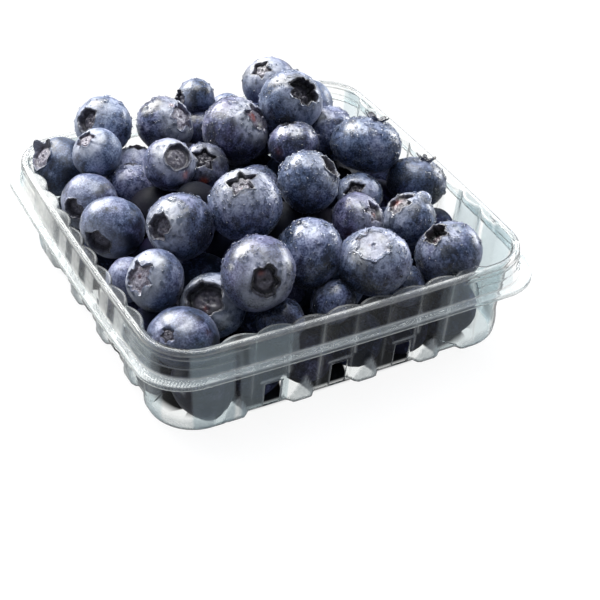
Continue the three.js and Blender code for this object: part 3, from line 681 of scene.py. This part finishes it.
def berry(centre, r, axis, size, style, q, seed, around, rings, roll=None):
    """One berry in mm: its points, faces, and where its crown, sepals, halo, and scars with painted groove shade are (0
    to 1).
    """
    rng = np.random.default_rng(seed)
    depth, boss, fold, high, flare, sharp, opening, rag = STYLES[style]
    phi = np.linspace(0, 2 * math.pi, around, endpoint=False)
    roll = rng.uniform(0, 6.28) if roll is None else roll
    wobble = 0.30 * np.sin(phi + rng.uniform(0, 6.28)) + 0.2 * np.sin(2 * phi + rng.uniform(0, 6.28))
    turn = 5 * (phi - roll) + wobble
    part = (np.floor(turn / (2 * math.pi) + 0.5) % 5).astype(int)
    own = rng.uniform(0.6, 1.15, 5)[part]
    own_flare = rng.uniform(0.5, 1.3, 5)[part]
    lobe = (0.5 + 0.5 * np.cos(turn)) ** sharp
    a = size * opening * (1 + 0.07 * np.cos(2 * phi + rng.uniform(0, 6.28)))
    torn = sum(np.sin(m * phi + rng.uniform(0, 6.28)) / (m - 4) ** 0.5 for m in (6, 8, 11, 15))
    e = a * (1 - fold * lobe * own) * (1 + rag * torn)  # the edge of the hole
    p = 2.12

    def cap(rho):
        return q * np.maximum(1 - np.clip(rho, 0, 1) ** p, 0) ** (1 / p)

    z0 = cap(a)
    low = z0.min() - depth
    top = low + boss * depth
    layers, crown, sepal, halo, pit = [], [], [], [], []

    def ring(rho, z, c=0.0, s=0.0, h=0.0, d=0.0):
        one = np.ones(around)
        layers.append(np.c_[rho * one * np.cos(phi), rho * one * np.sin(phi), z * one])
        crown.append(c * one)
        sepal.append(s * one)
        halo.append(h * one)
        pit.append(d * one)

    # disc, with the style's scar at its middle, and the groove round it, with painted shade in the groove
    core = np.minimum(0.60 * a, 0.80 * e)
    ring(0.08 * core, top - 0.030, 1, d=0.9)
    ring(0.17 * core, top - 0.020, 1, d=0.5)
    lump = 0.2 * depth * (np.sin(3 * phi + rng.uniform(0, 6.28)) + np.sin(5 * phi + rng.uniform(0, 6.28)))
    ring(0.26 * core, top + 0.008, 1)
    ring(0.42 * core, top + 0.4 * lump, 1)
    ring(0.62 * core, top - 0.004 + 0.7 * np.roll(lump, 9), 1)
    ring(0.82 * core, top + 0.004 - 0.6 * lump, 1)
    ring(0.96 * core, top - 0.002 - 0.3 * lump, 1)
    ring(0.5 * (core + 0.93 * e), low + 0.06 * depth, 1, d=0.55)
    ring(0.93 * e, low, 1, d=1.0)
    ring(0.965 * e, low + 0.5 * (z0 - low), 1, d=0.85)
    ring(0.985 * e, z0 - 0.03 * (1 - lobe) - 0.01, 0.8, 0.2, d=0.4)
    # sepals: up inside, over the tip, down outside
    tall = high * (0.12 + 0.88 * lobe * own) * (1 + 2.5 * rag * np.roll(torn, 5))
    out = flare * lobe * own_flare
    rim = z0 + 0.4 * (cap(e) - z0)
    ring(e * (1.0 + 0.55 * out), rim + 0.5 * tall, 0.4, 0.7)
    ring(e * (1.02 + 0.95 * out), rim + 0.92 * tall, 0.0, 1.0)
    ring(e * (1.06 + 1.0 * out), rim + 1.0 * tall, 0.0, 1.0)
    ring(np.maximum(e * (1.12 + 0.92 * out), e + 0.35 * (a - e)), rim + 0.80 * tall, 0.0, 0.6, 0.5)
    ring(np.maximum(e * (1.16 + 0.5 * out), e + 0.7 * (a - e)), np.maximum(rim + 0.5 * tall, cap(a)), 0.0, 0.3, 0.8)
    ring(a * (1.10 + 0.35 * out), cap(a * 1.10) + 0.25 * tall + 0.012, 0.0, 0.1, 1.0)
    start = np.arcsin(np.clip(1.17 * a, 0, 0.97))
    theta = start[None] + (math.pi - 0.13 - start[None]) * (np.linspace(0, 1, rings) ** 0.92)[:, None]
    reach = math.radians(34)
    for k in range(rings):
        t = theta[k]
        m = (np.abs(np.sin(t)) ** p + np.abs(np.cos(t)) ** p) ** (1 / p)
        fade = smooth01(1 - (t - start) / reach)
        ring(np.sin(t) / m, q * np.cos(t) / m + 0.02 * (k == 0), 0, 0, fade)
    ring(0.075, -q * 0.965, 0.0, 0.4)
    ring(0.035, -q * 0.94, 0.0, 0.6, d=0.5)
    pts = np.array(layers)
    R = len(layers)
    crown, sepal, halo, pit = (np.array(v) for v in (crown, sepal, halo, pit))
    pit = pit * GROOVE_SHADE.get(style, 0.6)
    # uneven in shape: slow waves, dents and a few creases that run from the crown
    flat = pts.reshape(-1, 3)
    d = flat / np.maximum(np.linalg.norm(flat, axis=1, keepdims=True), 1e-6)
    bump = np.zeros(len(flat))
    for k in range(5):
        bump += 0.016 * np.sin(d @ (unit(rng.normal(size=3)) * rng.uniform(1.4, 2.8)) + rng.uniform(0, 6.28))
    for k in range(6):
        bump += 0.0045 * np.sin(d @ (unit(rng.normal(size=3)) * rng.uniform(6, 11)) + rng.uniform(0, 6.28))
    body = 1 - np.clip(crown.ravel() + sepal.ravel(), 0, 1) * 0.7
    polar = np.arccos(np.clip(d[:, 2], -1, 1))
    az = np.arctan2(d[:, 1], d[:, 0])
    for k in range(rng.integers(2, 5)):
        w = rng.uniform(0, 6.28)
        wide = rng.uniform(0.08, 0.2)
        far = rng.uniform(0.5, 1.0)
        off = np.angle(np.exp(1j * (az - w - 0.4 * (polar - 0.5))))
        bump -= 0.02 * np.exp(-((off / wide) ** 2)) * np.exp(-(((polar - 0.62) / far) ** 2)) * (polar > 0.3)
    flat = flat * (1 + (bump * body)[:, None])
    pole = flat[: around].mean(0)
    tail = flat[-around:].mean(0)
    flat = np.concatenate([flat, [pole], [tail]])
    crown = np.concatenate([crown.ravel(), [1.0], [0.0]])
    sepal = np.concatenate([sepal.ravel(), [0.0], [0.8]])
    halo = np.concatenate([halo.ravel(), [0.0], [0.0]])
    pit = np.concatenate([pit.ravel(), [1.0], [0.6]])
    # axis to world
    n = unit(np.asarray(axis, float))
    u = unit(np.cross(n, [0.3, 0.2, 1.0] if abs(n[2]) < 0.9 else [1.0, 0, 0]))
    v = np.cross(n, u)
    world = np.asarray(centre) + r * (flat[:, :1] * u + flat[:, 1:2] * v + flat[:, 2:] * n)
    faces = []
    for k in range(R - 1):
        for j in range(around):
            j2 = (j + 1) % around
            faces.append((k * around + j, (k + 1) * around + j, (k + 1) * around + j2, k * around + j2))
    first, end = R * around, R * around + 1
    for j in range(around):
        j2 = (j + 1) % around
        faces.append((first, j, j2))
        faces.append((end, (R - 1) * around + j2, (R - 1) * around + j))
    return world, faces, {"crown": crown, "sepal": sepal, "halo": halo, "pit": pit}


def crown_axis(across, down, q):
    k = math.hypot(across, down) / q
    f = 1 / q if k < 0.97 else 0.97 / (k * q)
    x, y = across * f, -down * f
    return RIGHT * x + UP * y + BACK * math.sqrt(max(1 - x * x - y * y, 0.0))


# ---- the berries that don't show, or only between the others and through the plastic
def fill(seen, count=84, seed=7, steps=1500):
    """Packs more berries under the seen ones: they push each other apart, stay inside the walls and
    under a dome, and sink. Centres over the ledge, in mm."""
    rng = np.random.default_rng(seed)
    P = np.c_[rng.uniform(-42, 42, count), rng.uniform(-42, 42, count), rng.uniform(-22, 0, count)]
    R = rng.uniform(5.8, 8.6, count)
    for it in range(steps):
        r = R * min(1, 0.6 + 0.4 * it / (steps * 0.6))
        f = np.zeros_like(P)
        d = P[:, None] - P[None]
        L = np.linalg.norm(d, axis=2) + 1e-9
        ov = np.maximum(r[:, None] + r[None] - 0.25 - L, 0)
        np.fill_diagonal(ov, 0)
        f += (d / L[..., None] * ov[..., None]).sum(1) * 0.35
        d = P[:, None] - seen[None, :, :3]
        L = np.linalg.norm(d, axis=2) + 1e-9
        ov = np.maximum(r[:, None] + seen[None, :, 3] - 0.25 - L, 0)
        f += (d / L[..., None] * ov[..., None]).sum(1) * 0.7
        f[:, 2] -= 0.05 * (1 - it / steps)
        f[:, 0] += np.where(P[:, 0] > 26, 0.04, 0.0)
        f[:, 1] += np.where(np.abs(P[:, 1]) > 26, np.sign(P[:, 1]) * 0.04, 0.0)
        P += np.clip(f, -2, 2)
        x, y = P[:, 0], P[:, 1]
        u = np.minimum(np.abs(x) / 50, 1) ** 2.4
        w = np.minimum(np.abs(y) / 50, 1) ** 2.4
        roof = -7 + 13 * (1 - u) * (1 - w) - 9 * smooth01((x - 22) / 16) * smooth01((y + 6) / 22)
        P[:, 2] = np.maximum(np.minimum(P[:, 2], roof), -H + SHEET + r)
        half = 49.2 + np.clip((P[:, 2] + H) / H, 0, 1) - r
        cr = np.maximum(11 - r, 0.5)
        P[:, :2] = np.clip(P[:, :2], -half[:, None], half[:, None])
        over = np.abs(P[:, :2]) - (half - cr)[:, None]
        n = np.hypot(over[:, 0], over[:, 1])
        for i in np.where((over > 0).all(1) & (n > cr))[0]:
            P[i, :2] = np.sign(P[i, :2]) * ((half[i] - cr[i]) + over[i] * cr[i] / n[i])
    return np.c_[P, R]


def keep_inside(pts):
    """Points in mm pressed back inside the plastic, where they are below its ledge."""
    pts = pts.copy()
    pts[:, 2] = np.maximum(pts[:, 2], SHEET + 0.08)
    z = pts[:, 2]
    f = 2.6
    inset = np.where(z < f, f - np.sqrt(np.maximum(f * f - (f - z) ** 2, 0)), 0)
    half = WALL + (WALL_TOP - WALL) * z / H - inset - 0.28 - 0.7 * smooth01((z - 9) / 17)
    below = z < H - 0.2
    straight = half - WALL_R
    over = np.abs(pts[:, :2]) - straight[:, None]
    reach = np.hypot(*np.maximum(over, 0).T)
    curved = below & (over > 0).all(1) & (reach > WALL_R)
    for i in (0, 1):
        side = np.sign(pts[:, i])
        bent = side * (straight + np.maximum(over[:, i], 0) * WALL_R / np.maximum(reach, 1e-6))
        flat = np.clip(pts[:, i], -half, half)
        pts[:, i] = np.where(curved, bent, np.where(below, flat, pts[:, i]))
    return pts


def first_hit(px, py, balls):
    """Which of the balls shows first at a place in the picture."""
    d = unit(RIGHT * (px - 300) / FOCAL - UP * (py - 300) / FOCAL - BACK)
    oc = EYE - balls[:, :3]
    b = oc @ d
    q = b * b - (oc**2).sum(1) + balls[:, 3] ** 2
    return int(np.where(q > 0, -b - np.sqrt(np.maximum(q, 0)), 1e9).argmin())


def make_berries():
    left, right, back, lower = Bunch(), Bunch(), Bunch(), Bunch()
    shapes = {}
    rng = np.random.default_rng(11)
    for k, row in SEEN.items():
        x, y, z, r, across, down, size, style, q, bloom, tone, pale, halo, red, wet = row
        if across is None:
            away = unit(-BACK + 0.8 * rng.normal(size=3) * np.array([1, 1, 0.6]))
            axis = away if away @ BACK < -0.2 else -away
        else:
            axis = crown_axis(across, down, q)
        c = np.array([x, y, z + H])
        around, rings = (80, 32) if k <= 36 else (50, 22) if k <= 40 else (40, 18)
        pts, faces, att = berry(c, r * (1 + 0.3 * (1 - q)), axis, size, style, q, 100 + k, around, rings)
        one = np.ones(len(pts))
        # a few are broader than high, seen from the front, and one is pressed into the corner
        flat = {34: 0.17, 16: 0.10, 24: 0.06, 18: 0.10}.get(k, 0.0)
        pts = pts - flat * np.outer((pts - c) @ UP, UP)
        if k == 40:
            low = np.array([0, -0.7071, -0.7071])
            pts = pts + 0.3 * r * low * np.maximum((pts - c) @ low / r, 0)[:, None] ** 4
        pts = keep_inside(pts)
        att["halo"] = att["halo"] * halo
        d = unit(rng.normal(size=3))
        spot = np.exp(-(np.linalg.norm((pts - c) / r - unit(axis + 0.55 * d), axis=1) / 0.42) ** 2)
        att.update(bloom=one * bloom, tone=one * tone, pale=one * pale, red=red * spot * (1 - att["crown"]), wet=one * wet)
        att.update(cream=0 * one, dry=one * DRY.get(k, 0.0))
        att["sepal"] = att["sepal"] * SOFT.get(k, 1.0)
        att["pit"] = att["pit"] * SOFT.get(k, 1.0)
        # painted shade on one side of the groove only
        if k in SHADED_SIDE:
            att["crown"] = att["crown"] * 0.4
            hub = c + r * axis
            off = pts - hub
            way = (off @ RIGHT * SHADED_SIDE[k][0] - off @ UP * SHADED_SIDE[k][1]) / np.maximum(np.hypot(off @ RIGHT, off @ UP), 1e-6)
            att["pit"] = att["pit"] * smooth01((way - 0.25) / 0.5)
            att["sepal"] = att["sepal"] * smooth01((way - 0.1) / 0.5)
        place = to_image(pts)
        facing = (pts - c) @ BACK > 0
        for touch in TOUCHES:
            if touch[0] == k:
                far = np.hypot(*(place - touch[1:3]).T) + 99 * ~facing
                g = np.exp(-(np.linalg.norm(pts - pts[far.argmin()], axis=1) / (touch[3] / 4)) ** 2)
                att["bloom"] = att["bloom"] + touch[4] * g
                for key, strength in zip(("cream", "red", "pit"), touch[5:]):
                    att[key] = np.maximum(att[key], np.minimum(strength * g, 1))
        # the berries down behind the walls take the shaded copy of the skin
        (lower if k > 40 else back if y > 5 else left if x < -5 else right).add(pts, faces, att)
        shapes[k] = (pts, faces, att, c, r)
    seen = np.array([v[:4] for v in SEEN.values()])
    hidden = fill(seen)
    rng = np.random.default_rng(5)
    balls = hidden + [0, 0, H, 0]
    gaps = {first_hit(px, py, balls): bloom for px, py, bloom in GAPS}
    for i, (x, y, z, r) in enumerate(hidden):
        axis = unit(rng.normal(size=3))
        style = ("open", "open", "star", "small", "ring")[rng.integers(5)]
        q = rng.uniform(0.84, 0.95)
        c = np.array([x, y, z + H])
        pts, faces, att = berry(c, r * (1 + 0.3 * (1 - q)), axis, rng.uniform(0.3, 0.45), style, q, 500 + i, 30, 16)
        one = np.ones(len(pts))
        att["halo"] = att["halo"] * rng.uniform(0.1, 0.6)
        # painted shade: the hidden berries get a low bloom, and those in the gaps their listed one
        bloom = gaps.get(i, rng.uniform(-0.1, 0.2))
        if bloom is None:
            continue
        att.update(bloom=one * bloom, tone=one * rng.uniform(0, 0.7), pale=0 * one, red=0 * one, wet=one * 0.1)
        att.update(cream=0 * one, dry=one)
        # painted shade: the darkest gap berries are darkened all over, with no wet coat
        if bloom < -0.7:
            att.update(pit=0.7 * one, wet=0 * one)
        pts = keep_inside(pts)
        lower.add(pts, faces, att)
    return left, right, back, lower, shapes, hidden


def core_mesh():
    """A dark lump standing in, as painted shade, for the berries deep inside the heap under the others: an uneven
    rounded block.
    """
    around, rings = 48, 22
    pts = []
    for k in range(rings + 1):
        t = math.pi * k / rings
        for j in range(around):
            p = 2 * math.pi * j / around
            d = np.array([math.sin(t) * math.cos(p), math.sin(t) * math.sin(p), math.cos(t)])
            m = (np.abs(d) ** 4).sum() ** 0.25
            w = 1 + 0.05 * math.sin(7 * p + 2 * t) + 0.05 * math.sin(5 * t + 3 * p)
            pts.append(d / m * np.array([31, 31, 8]) * w + np.array([-2, -1, 13]))
    faces = []
    for k in range(rings):
        for j in range(around):
            j2 = (j + 1) % around
            faces.append((k * around + j, (k + 1) * around + j, (k + 1) * around + j2, k * around + j2))
    return np.array(pts), faces


def weld(ob, distance=1e-6):
    bm = bmesh.new()
    bm.from_mesh(ob.data)
    bmesh.ops.remove_doubles(bm, verts=bm.verts, dist=distance)
    bmesh.ops.recalc_face_normals(bm, faces=bm.faces)
    bm.to_mesh(ob.data)
    bm.free()


# ---- water
# Large drops: berry, place in the picture, radius in mm, height as a share of the radius.
BIG_DROPS = [
    (16, 372, 132, 1.35, 0.5), (16, 350, 134, 0.6, 0.7), (16, 344, 139, 0.5, 0.7), (16, 340, 136, 0.4, 0.7), (16, 367, 147, 0.5, 0.7),
    (16, 393, 144, 0.45, 0.7), (15, 288, 167, 0.95, 0.5), (15, 298, 163, 0.95, 0.5), (15, 300, 153, 0.6, 0.7), (15, 311, 154, 0.6, 0.7),
    (15, 306, 171, 0.45, 0.7), (15, 299, 179, 0.45, 0.7), (15, 337, 193, 0.8, 0.5), (15, 332, 182, 0.6, 0.6), (15, 302, 189, 1.0, 0.3),
    (15, 322, 182, 0.4, 0.7), (14, 283, 141, 0.5, 0.7), (14, 293, 140, 0.5, 0.7), (14, 303, 138, 0.45, 0.7), (14, 308, 142, 0.4, 0.7),
    (14, 278, 139, 0.4, 0.7), (7, 213, 126, 0.75, 0.6), (7, 259, 130, 0.9, 0.5), (7, 232, 111, 0.5, 0.6), (28, 173, 199, 1.3, 0.32),
    (28, 181, 206, 1.2, 0.3), (28, 181, 219, 1.0, 0.3), (27, 209, 205, 1.1, 0.6), (27, 275, 201, 0.7, 0.6), (27, 263, 189, 0.9, 0.35),
    (27, 268, 217, 0.5, 0.7), (27, 258, 220, 0.4, 0.7), (27, 252, 212, 0.4, 0.7), (29, 114, 174, 0.6, 0.7), (29, 129, 167, 1.0, 0.35),
    (29, 143, 183, 0.7, 0.6), (29, 154, 186, 1.5, 0.8), (20, 350, 214, 1.1, 0.4), (20, 366, 208, 1.1, 0.3), (24, 404, 250, 1.1, 0.5),
    (24, 390, 230, 0.8, 0.35), (25, 290, 235, 1.0, 0.45), (25, 299, 235, 0.9, 0.45), (25, 329, 245, 0.6, 0.6), (25, 333, 236, 0.9, 0.45),
    (25, 311, 263, 1.3, 0.25), (25, 316, 253, 0.5, 0.6), (21, 424, 222, 0.9, 0.45), (21, 424, 198, 2.1, 0.75), (23, 461, 246, 0.6, 0.6),
    (23, 463, 252, 0.5, 0.6), (18, 439, 179, 0.7, 0.5), (37, 321, 297, 0.4, 0.7), (37, 326, 302, 0.7, 0.6), (37, 336, 290, 0.45, 0.7),
    (26, 243, 258, 1.3, 0.35), (26, 221, 259, 0.8, 0.6), (26, 289, 275, 0.8, 0.4), (33, 178, 286, 0.4, 0.7), (35, 227, 309, 0.7, 0.6),
    (35, 232, 319, 0.8, 0.5), (35, 219, 326, 0.5, 0.7), (35, 236, 305, 0.4, 0.7), (35, 206, 284, 0.5, 0.6), (40, 194, 415, 0.35, 0.7),
    (9, 282, 86, 0.7, 0.5), (17, 330, 122, 0.8, 0.5), (8, 270, 66, 0.9, 0.35), (4, 153, 115, 0.6, 0.5), (2, 113, 121, 0.5, 0.6),
]


def drop(p, n, r, flat, seed, around=14, rings=7):
    """A drop of water that sits on a skin: a dome, and a shallow foot just under the skin."""
    rng = np.random.default_rng(seed)
    u = unit(np.cross(n, [0.2, 0.5, 1.0]))
    v = np.cross(n, u)
    ph = np.linspace(0, 2 * math.pi, around, endpoint=False)
    shape = 1 + 0.10 * np.cos(2 * ph + rng.uniform(0, 6.28)) + 0.05 * np.cos(3 * ph + rng.uniform(0, 6.28))
    pts = [p + n * r * flat]
    for k in range(1, rings + 1):
        t = math.pi / 2 * k / rings
        for j, a in enumerate(ph):
            pts.append(p + n * r * flat * math.cos(t) + (u * math.cos(a) + v * math.sin(a)) * r * shape[j] * math.sin(t))
    for j, a in enumerate(ph):
        pts.append(p - n * r * 0.22 + (u * math.cos(a) + v * math.sin(a)) * r * 0.8 * shape[j])
    pts.append(p - n * r * 0.28)
    faces = [(0, 1 + j, 1 + (j + 1) % around) for j in range(around)]
    for k in range(rings):
        for j in range(around):
            j2 = (j + 1) % around
            a, b = 1 + k * around, 1 + (k + 1) * around
            faces.append((a + j, b + j, b + j2, a + j2))
    last = 1 + rings * around
    faces += [(last + j, len(pts) - 1, last + (j + 1) % around) for j in range(around)]
    return np.array(pts), faces


def make_drops(shapes, hidden):
    bunch = Bunch()
    rng = np.random.default_rng(21)
    balls = np.array([[v[0], v[1], v[2] + H, v[3]] for v in SEEN.values()] + [[*h[:2], h[2] + H, h[3]] for h in hidden])
    ids = list(SEEN)
    taken = []

    def try_drop(k, i, r, flat):
        pts, _, att, c, rad = shapes[k]
        p = pts[i]
        n = unit(p - c)
        d = np.linalg.norm(balls[:, :3] - (p + n * r * 0.3), axis=1) - balls[:, 3]
        d[ids.index(k)] = 9
        if d.min() < r * 0.6:
            return
        if any(np.linalg.norm(p - t[0]) < (r + t[1]) * 1.05 for t in taken):
            return
        taken.append((p, r))
        bunch.add(*drop(p - n * 0.05 * r, n, r, flat, len(taken), *((14, 6) if r > 0.6 else (10, 4) if r > 0.45 else (8, 3))), {})

    for k, px, py, r, flat in BIG_DROPS:
        pts, _, att, c, rad = shapes[k]
        facing = ((pts - c) @ BACK) > 0
        dist = np.hypot(*(to_image(pts) - [px, py]).T) + 99 * ~facing
        try_drop(k, int(dist.argmin()), r, min(flat * 1.2, 0.85))
    for k, (pts, _, att, c, rad) in shapes.items():
        wet = SEEN[k][14]
        count = int(170 * wet * (rad / 8) ** 2)
        if not count:
            continue
        n = (pts - c) / np.linalg.norm(pts - c, axis=1, keepdims=True)
        good = (att["crown"] < 0.05) & (att["sepal"] < 0.05) & (n[:, 2] > -0.25) & ((n @ BACK) > -0.3)
        good = np.where(good)[0]
        for i in rng.choice(good, size=min(count, len(good)), replace=False):
            r = 0.30 + 0.34 * rng.random() ** 1.6 + (0.45 if rng.random() < 0.08 else 0)
            try_drop(k, int(i), r, rng.uniform(0.5, 0.75))
    return bunch


# ---------------------------------------------------------------- build it all
sheet = punnet()
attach(sheet, "root")
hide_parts("punnet")

left, right, back, lower, shapes, hidden = make_berries()
for bunch, name, skin in (
    (left, "berries_left", SKIN),
    (right, "berries_right", SKIN),
    (back, "berries_back", SKIN),
    (lower, "berries_lower", SKIN_SHADED),
):
    ob = bunch.build(name, skin)
    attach(ob, "root")
    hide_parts("berry_heap")

core_points, core_faces = core_mesh()
core = add_mesh("berry_core", core_points, core_faces, SKIN_SHADED)
weld(core)
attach(core, "root")
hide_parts("berry_heap")

drops = make_drops(shapes, hidden).build("water_drops", WATER)
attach(drops, "root")


# ---------------------------------------------------------------- stage and light
def looked_at(n):
    """1 for what is looked at straight or through clear things, 0 for what only lights or mirrors."""
    path = n.node("ShaderNodeLightPath").outputs
    bounced = n.math("ADD", path["Glossy Depth"], path["Diffuse Depth"])
    through = n.math("MULTIPLY", path["Is Transmission Ray"], n.math("LESS_THAN", bounced, 0.5))
    return n.math("MAXIMUM", path["Is Camera Ray"], through)


def stage():
    """A pale floor: dark grey, glowing white like a light table so that shadows stay faint; the glow is cut off under
    the punnet, a painted shadow there.
    """
    m, nt, out = new_material("floor")
    n = Net(nt)
    where = n.node("ShaderNodeTexCoord").outputs["Object"]
    xyz = n.node("ShaderNodeSeparateXYZ")
    nt.links.new(where, xyz.inputs[0])
    across = [n.math("ABSOLUTE", xyz.outputs[i]) for i in (0, 1)]
    reach = n.math("ADD", *(n.math("POWER", n.math("MULTIPLY", v, 20.0), 6.0) for v in across))
    reach = n.math("MULTIPLY", n.math("POWER", reach, 1 / 6), 0.05)
    # the painted shadow stops a little short under the clear feet of the four sides, a painted pool of light there
    turned = [n.math("SIGN", xyz.outputs[i]) for i in (0, 1)]
    ahead = n.math("MULTIPLY", n.math("MULTIPLY", xyz.outputs[0], turned[1]), -1.0)
    aside = n.math("MULTIPLY", xyz.outputs[1], turned[0])
    which = n.math("GREATER_THAN", across[1], across[0])
    s = n.math("ADD", n.math("MULTIPLY", ahead, which), n.math("MULTIPLY", aside, n.math("SUBTRACT", 1.0, which)))
    cell = n.math("FRACT", n.math("MULTIPLY", n.math("SUBTRACT", s, (FOOT - MODULE / 2) * MM), 1 / (MODULE * MM)))
    off = n.math("MULTIPLY", n.math("ABSOLUTE", n.math("SUBTRACT", cell, 0.5)), MODULE)
    reach = n.math("ADD", reach, n.span(off, 3.7, 1.2, 0.0, 0.0085))
    glow = n.span(looked_at(n), 0.0, 1.0, 0.20, 0.92)
    p = n.node("ShaderNodeBsdfPrincipled")
    n.put(p.inputs["Base Color"], n.mix(n.noise(3, 2.0, 0.5, 0.0, where), rgb(0.065, 0.065, 0.066), rgb(0.08, 0.08, 0.08)))
    p.inputs["Emission Color"].default_value = rgb(1.0, 1.0, 1.0)
    n.put(p.inputs["Emission Strength"], n.math("MULTIPLY", n.span(reach, 0.0466, 0.0488), glow))
    p.inputs["Roughness"].default_value = 0.9
    p.inputs["Specular IOR Level"].default_value = 0.1
    nt.links.new(p.outputs[0], out.inputs["Surface"])
    me = bpy.data.meshes.new("floor")
    s = 6.0
    me.from_pydata([(-s, -s, -0.0003), (s, -s, -0.0003), (s, s, -0.0003), (-s, s, -0.0003)], [], [(0, 1, 2, 3)])
    me.update()
    ob = bpy.data.objects.new("floor", me)
    bpy.context.scene.collection.objects.link(ob)
    ob.data.materials.append(m)


def area(name, place, size, watts, colour, at=(0, 0, 0.03)):
    data = bpy.data.lights.new(name, "AREA")
    data.shape = "RECTANGLE"
    data.size, data.size_y = size
    data.energy = watts
    data.color = colour
    ob = bpy.data.objects.new(name, data)
    bpy.context.scene.collection.objects.link(ob)
    d = np.array(at) - np.array(place)
    z = -unit(d)
    x = unit(np.cross([0, 0, 1.0], z))
    y = np.cross(z, x)
    m = Matrix.Identity(4)
    for i in range(3):
        m[i][0], m[i][1], m[i][2], m[i][3] = x[i], y[i], z[i], place[i]
    ob.matrix_world = m


def light():
    side = unit(np.array([-RIGHT[0], -RIGHT[1], 0]))
    ahead = unit(np.array([-BACK[0], -BACK[1], 0]))
    up = np.array([0, 0, 1.0])
    world = bpy.data.worlds.new("world")
    bpy.context.scene.world = world
    world.use_nodes = True
    nt = world.node_tree
    nt.nodes.clear()
    n = Net(nt)
    out = n.node("ShaderNodeOutputWorld")
    bg = n.node("ShaderNodeBackground")
    dot = n.node("ShaderNodeVectorMath", operation="DOT_PRODUCT")
    nt.links.new(n.node("ShaderNodeTexCoord").outputs["Generated"], dot.inputs[0])
    dot.inputs[1].default_value = tuple(unit(ahead + 0.25 * side + 0.2 * up))
    back = n.node("ShaderNodeMapRange", interpolation_type="SMOOTHSTEP")
    back.inputs["From Min"].default_value = -0.35
    back.inputs["From Max"].default_value = 0.9
    nt.links.new(dot.outputs["Value"], back.inputs["Value"])
    room = n.mix(back.outputs["Result"], rgb(0.215, 0.237, 0.287), rgb(0.80, 0.84, 0.92))
    n.put(bg.inputs[0], n.mix(looked_at(n), room, rgb(0.95, 0.95, 0.95)))
    bg.inputs[1].default_value = 1.0
    nt.links.new(bg.outputs[0], out.inputs[0])
    # key: a large soft box up on the left, behind
    area("key", (side * 0.55 + ahead * 0.62 + up * 0.60) * 1.6, (1.15, 1.15), 43, (1.0, 0.985, 0.955))
    area("glint", (side * 0.60 + ahead * 0.50 + up * 0.75) * 1.5, (0.24, 0.24), 7, (1.0, 0.99, 0.97))
    # rim: low behind on the right
    area("rim", (-side * 0.75 + ahead * 0.60 + up * 0.22) * 1.5, (0.9, 0.6), 18, (0.95, 0.97, 1.0))
    area("top", (ahead * 0.30 + up * 1.0) * 1.6, (1.1, 1.1), 28, (0.97, 0.985, 1.0))


stage()
light()
scene = bpy.context.scene
scene.view_settings.view_transform = "Standard"
scene.view_settings.look = "None"
scene.cycles.max_bounces = 16
scene.cycles.transmission_bounces = 16
scene.cycles.transparent_max_bounces = 24
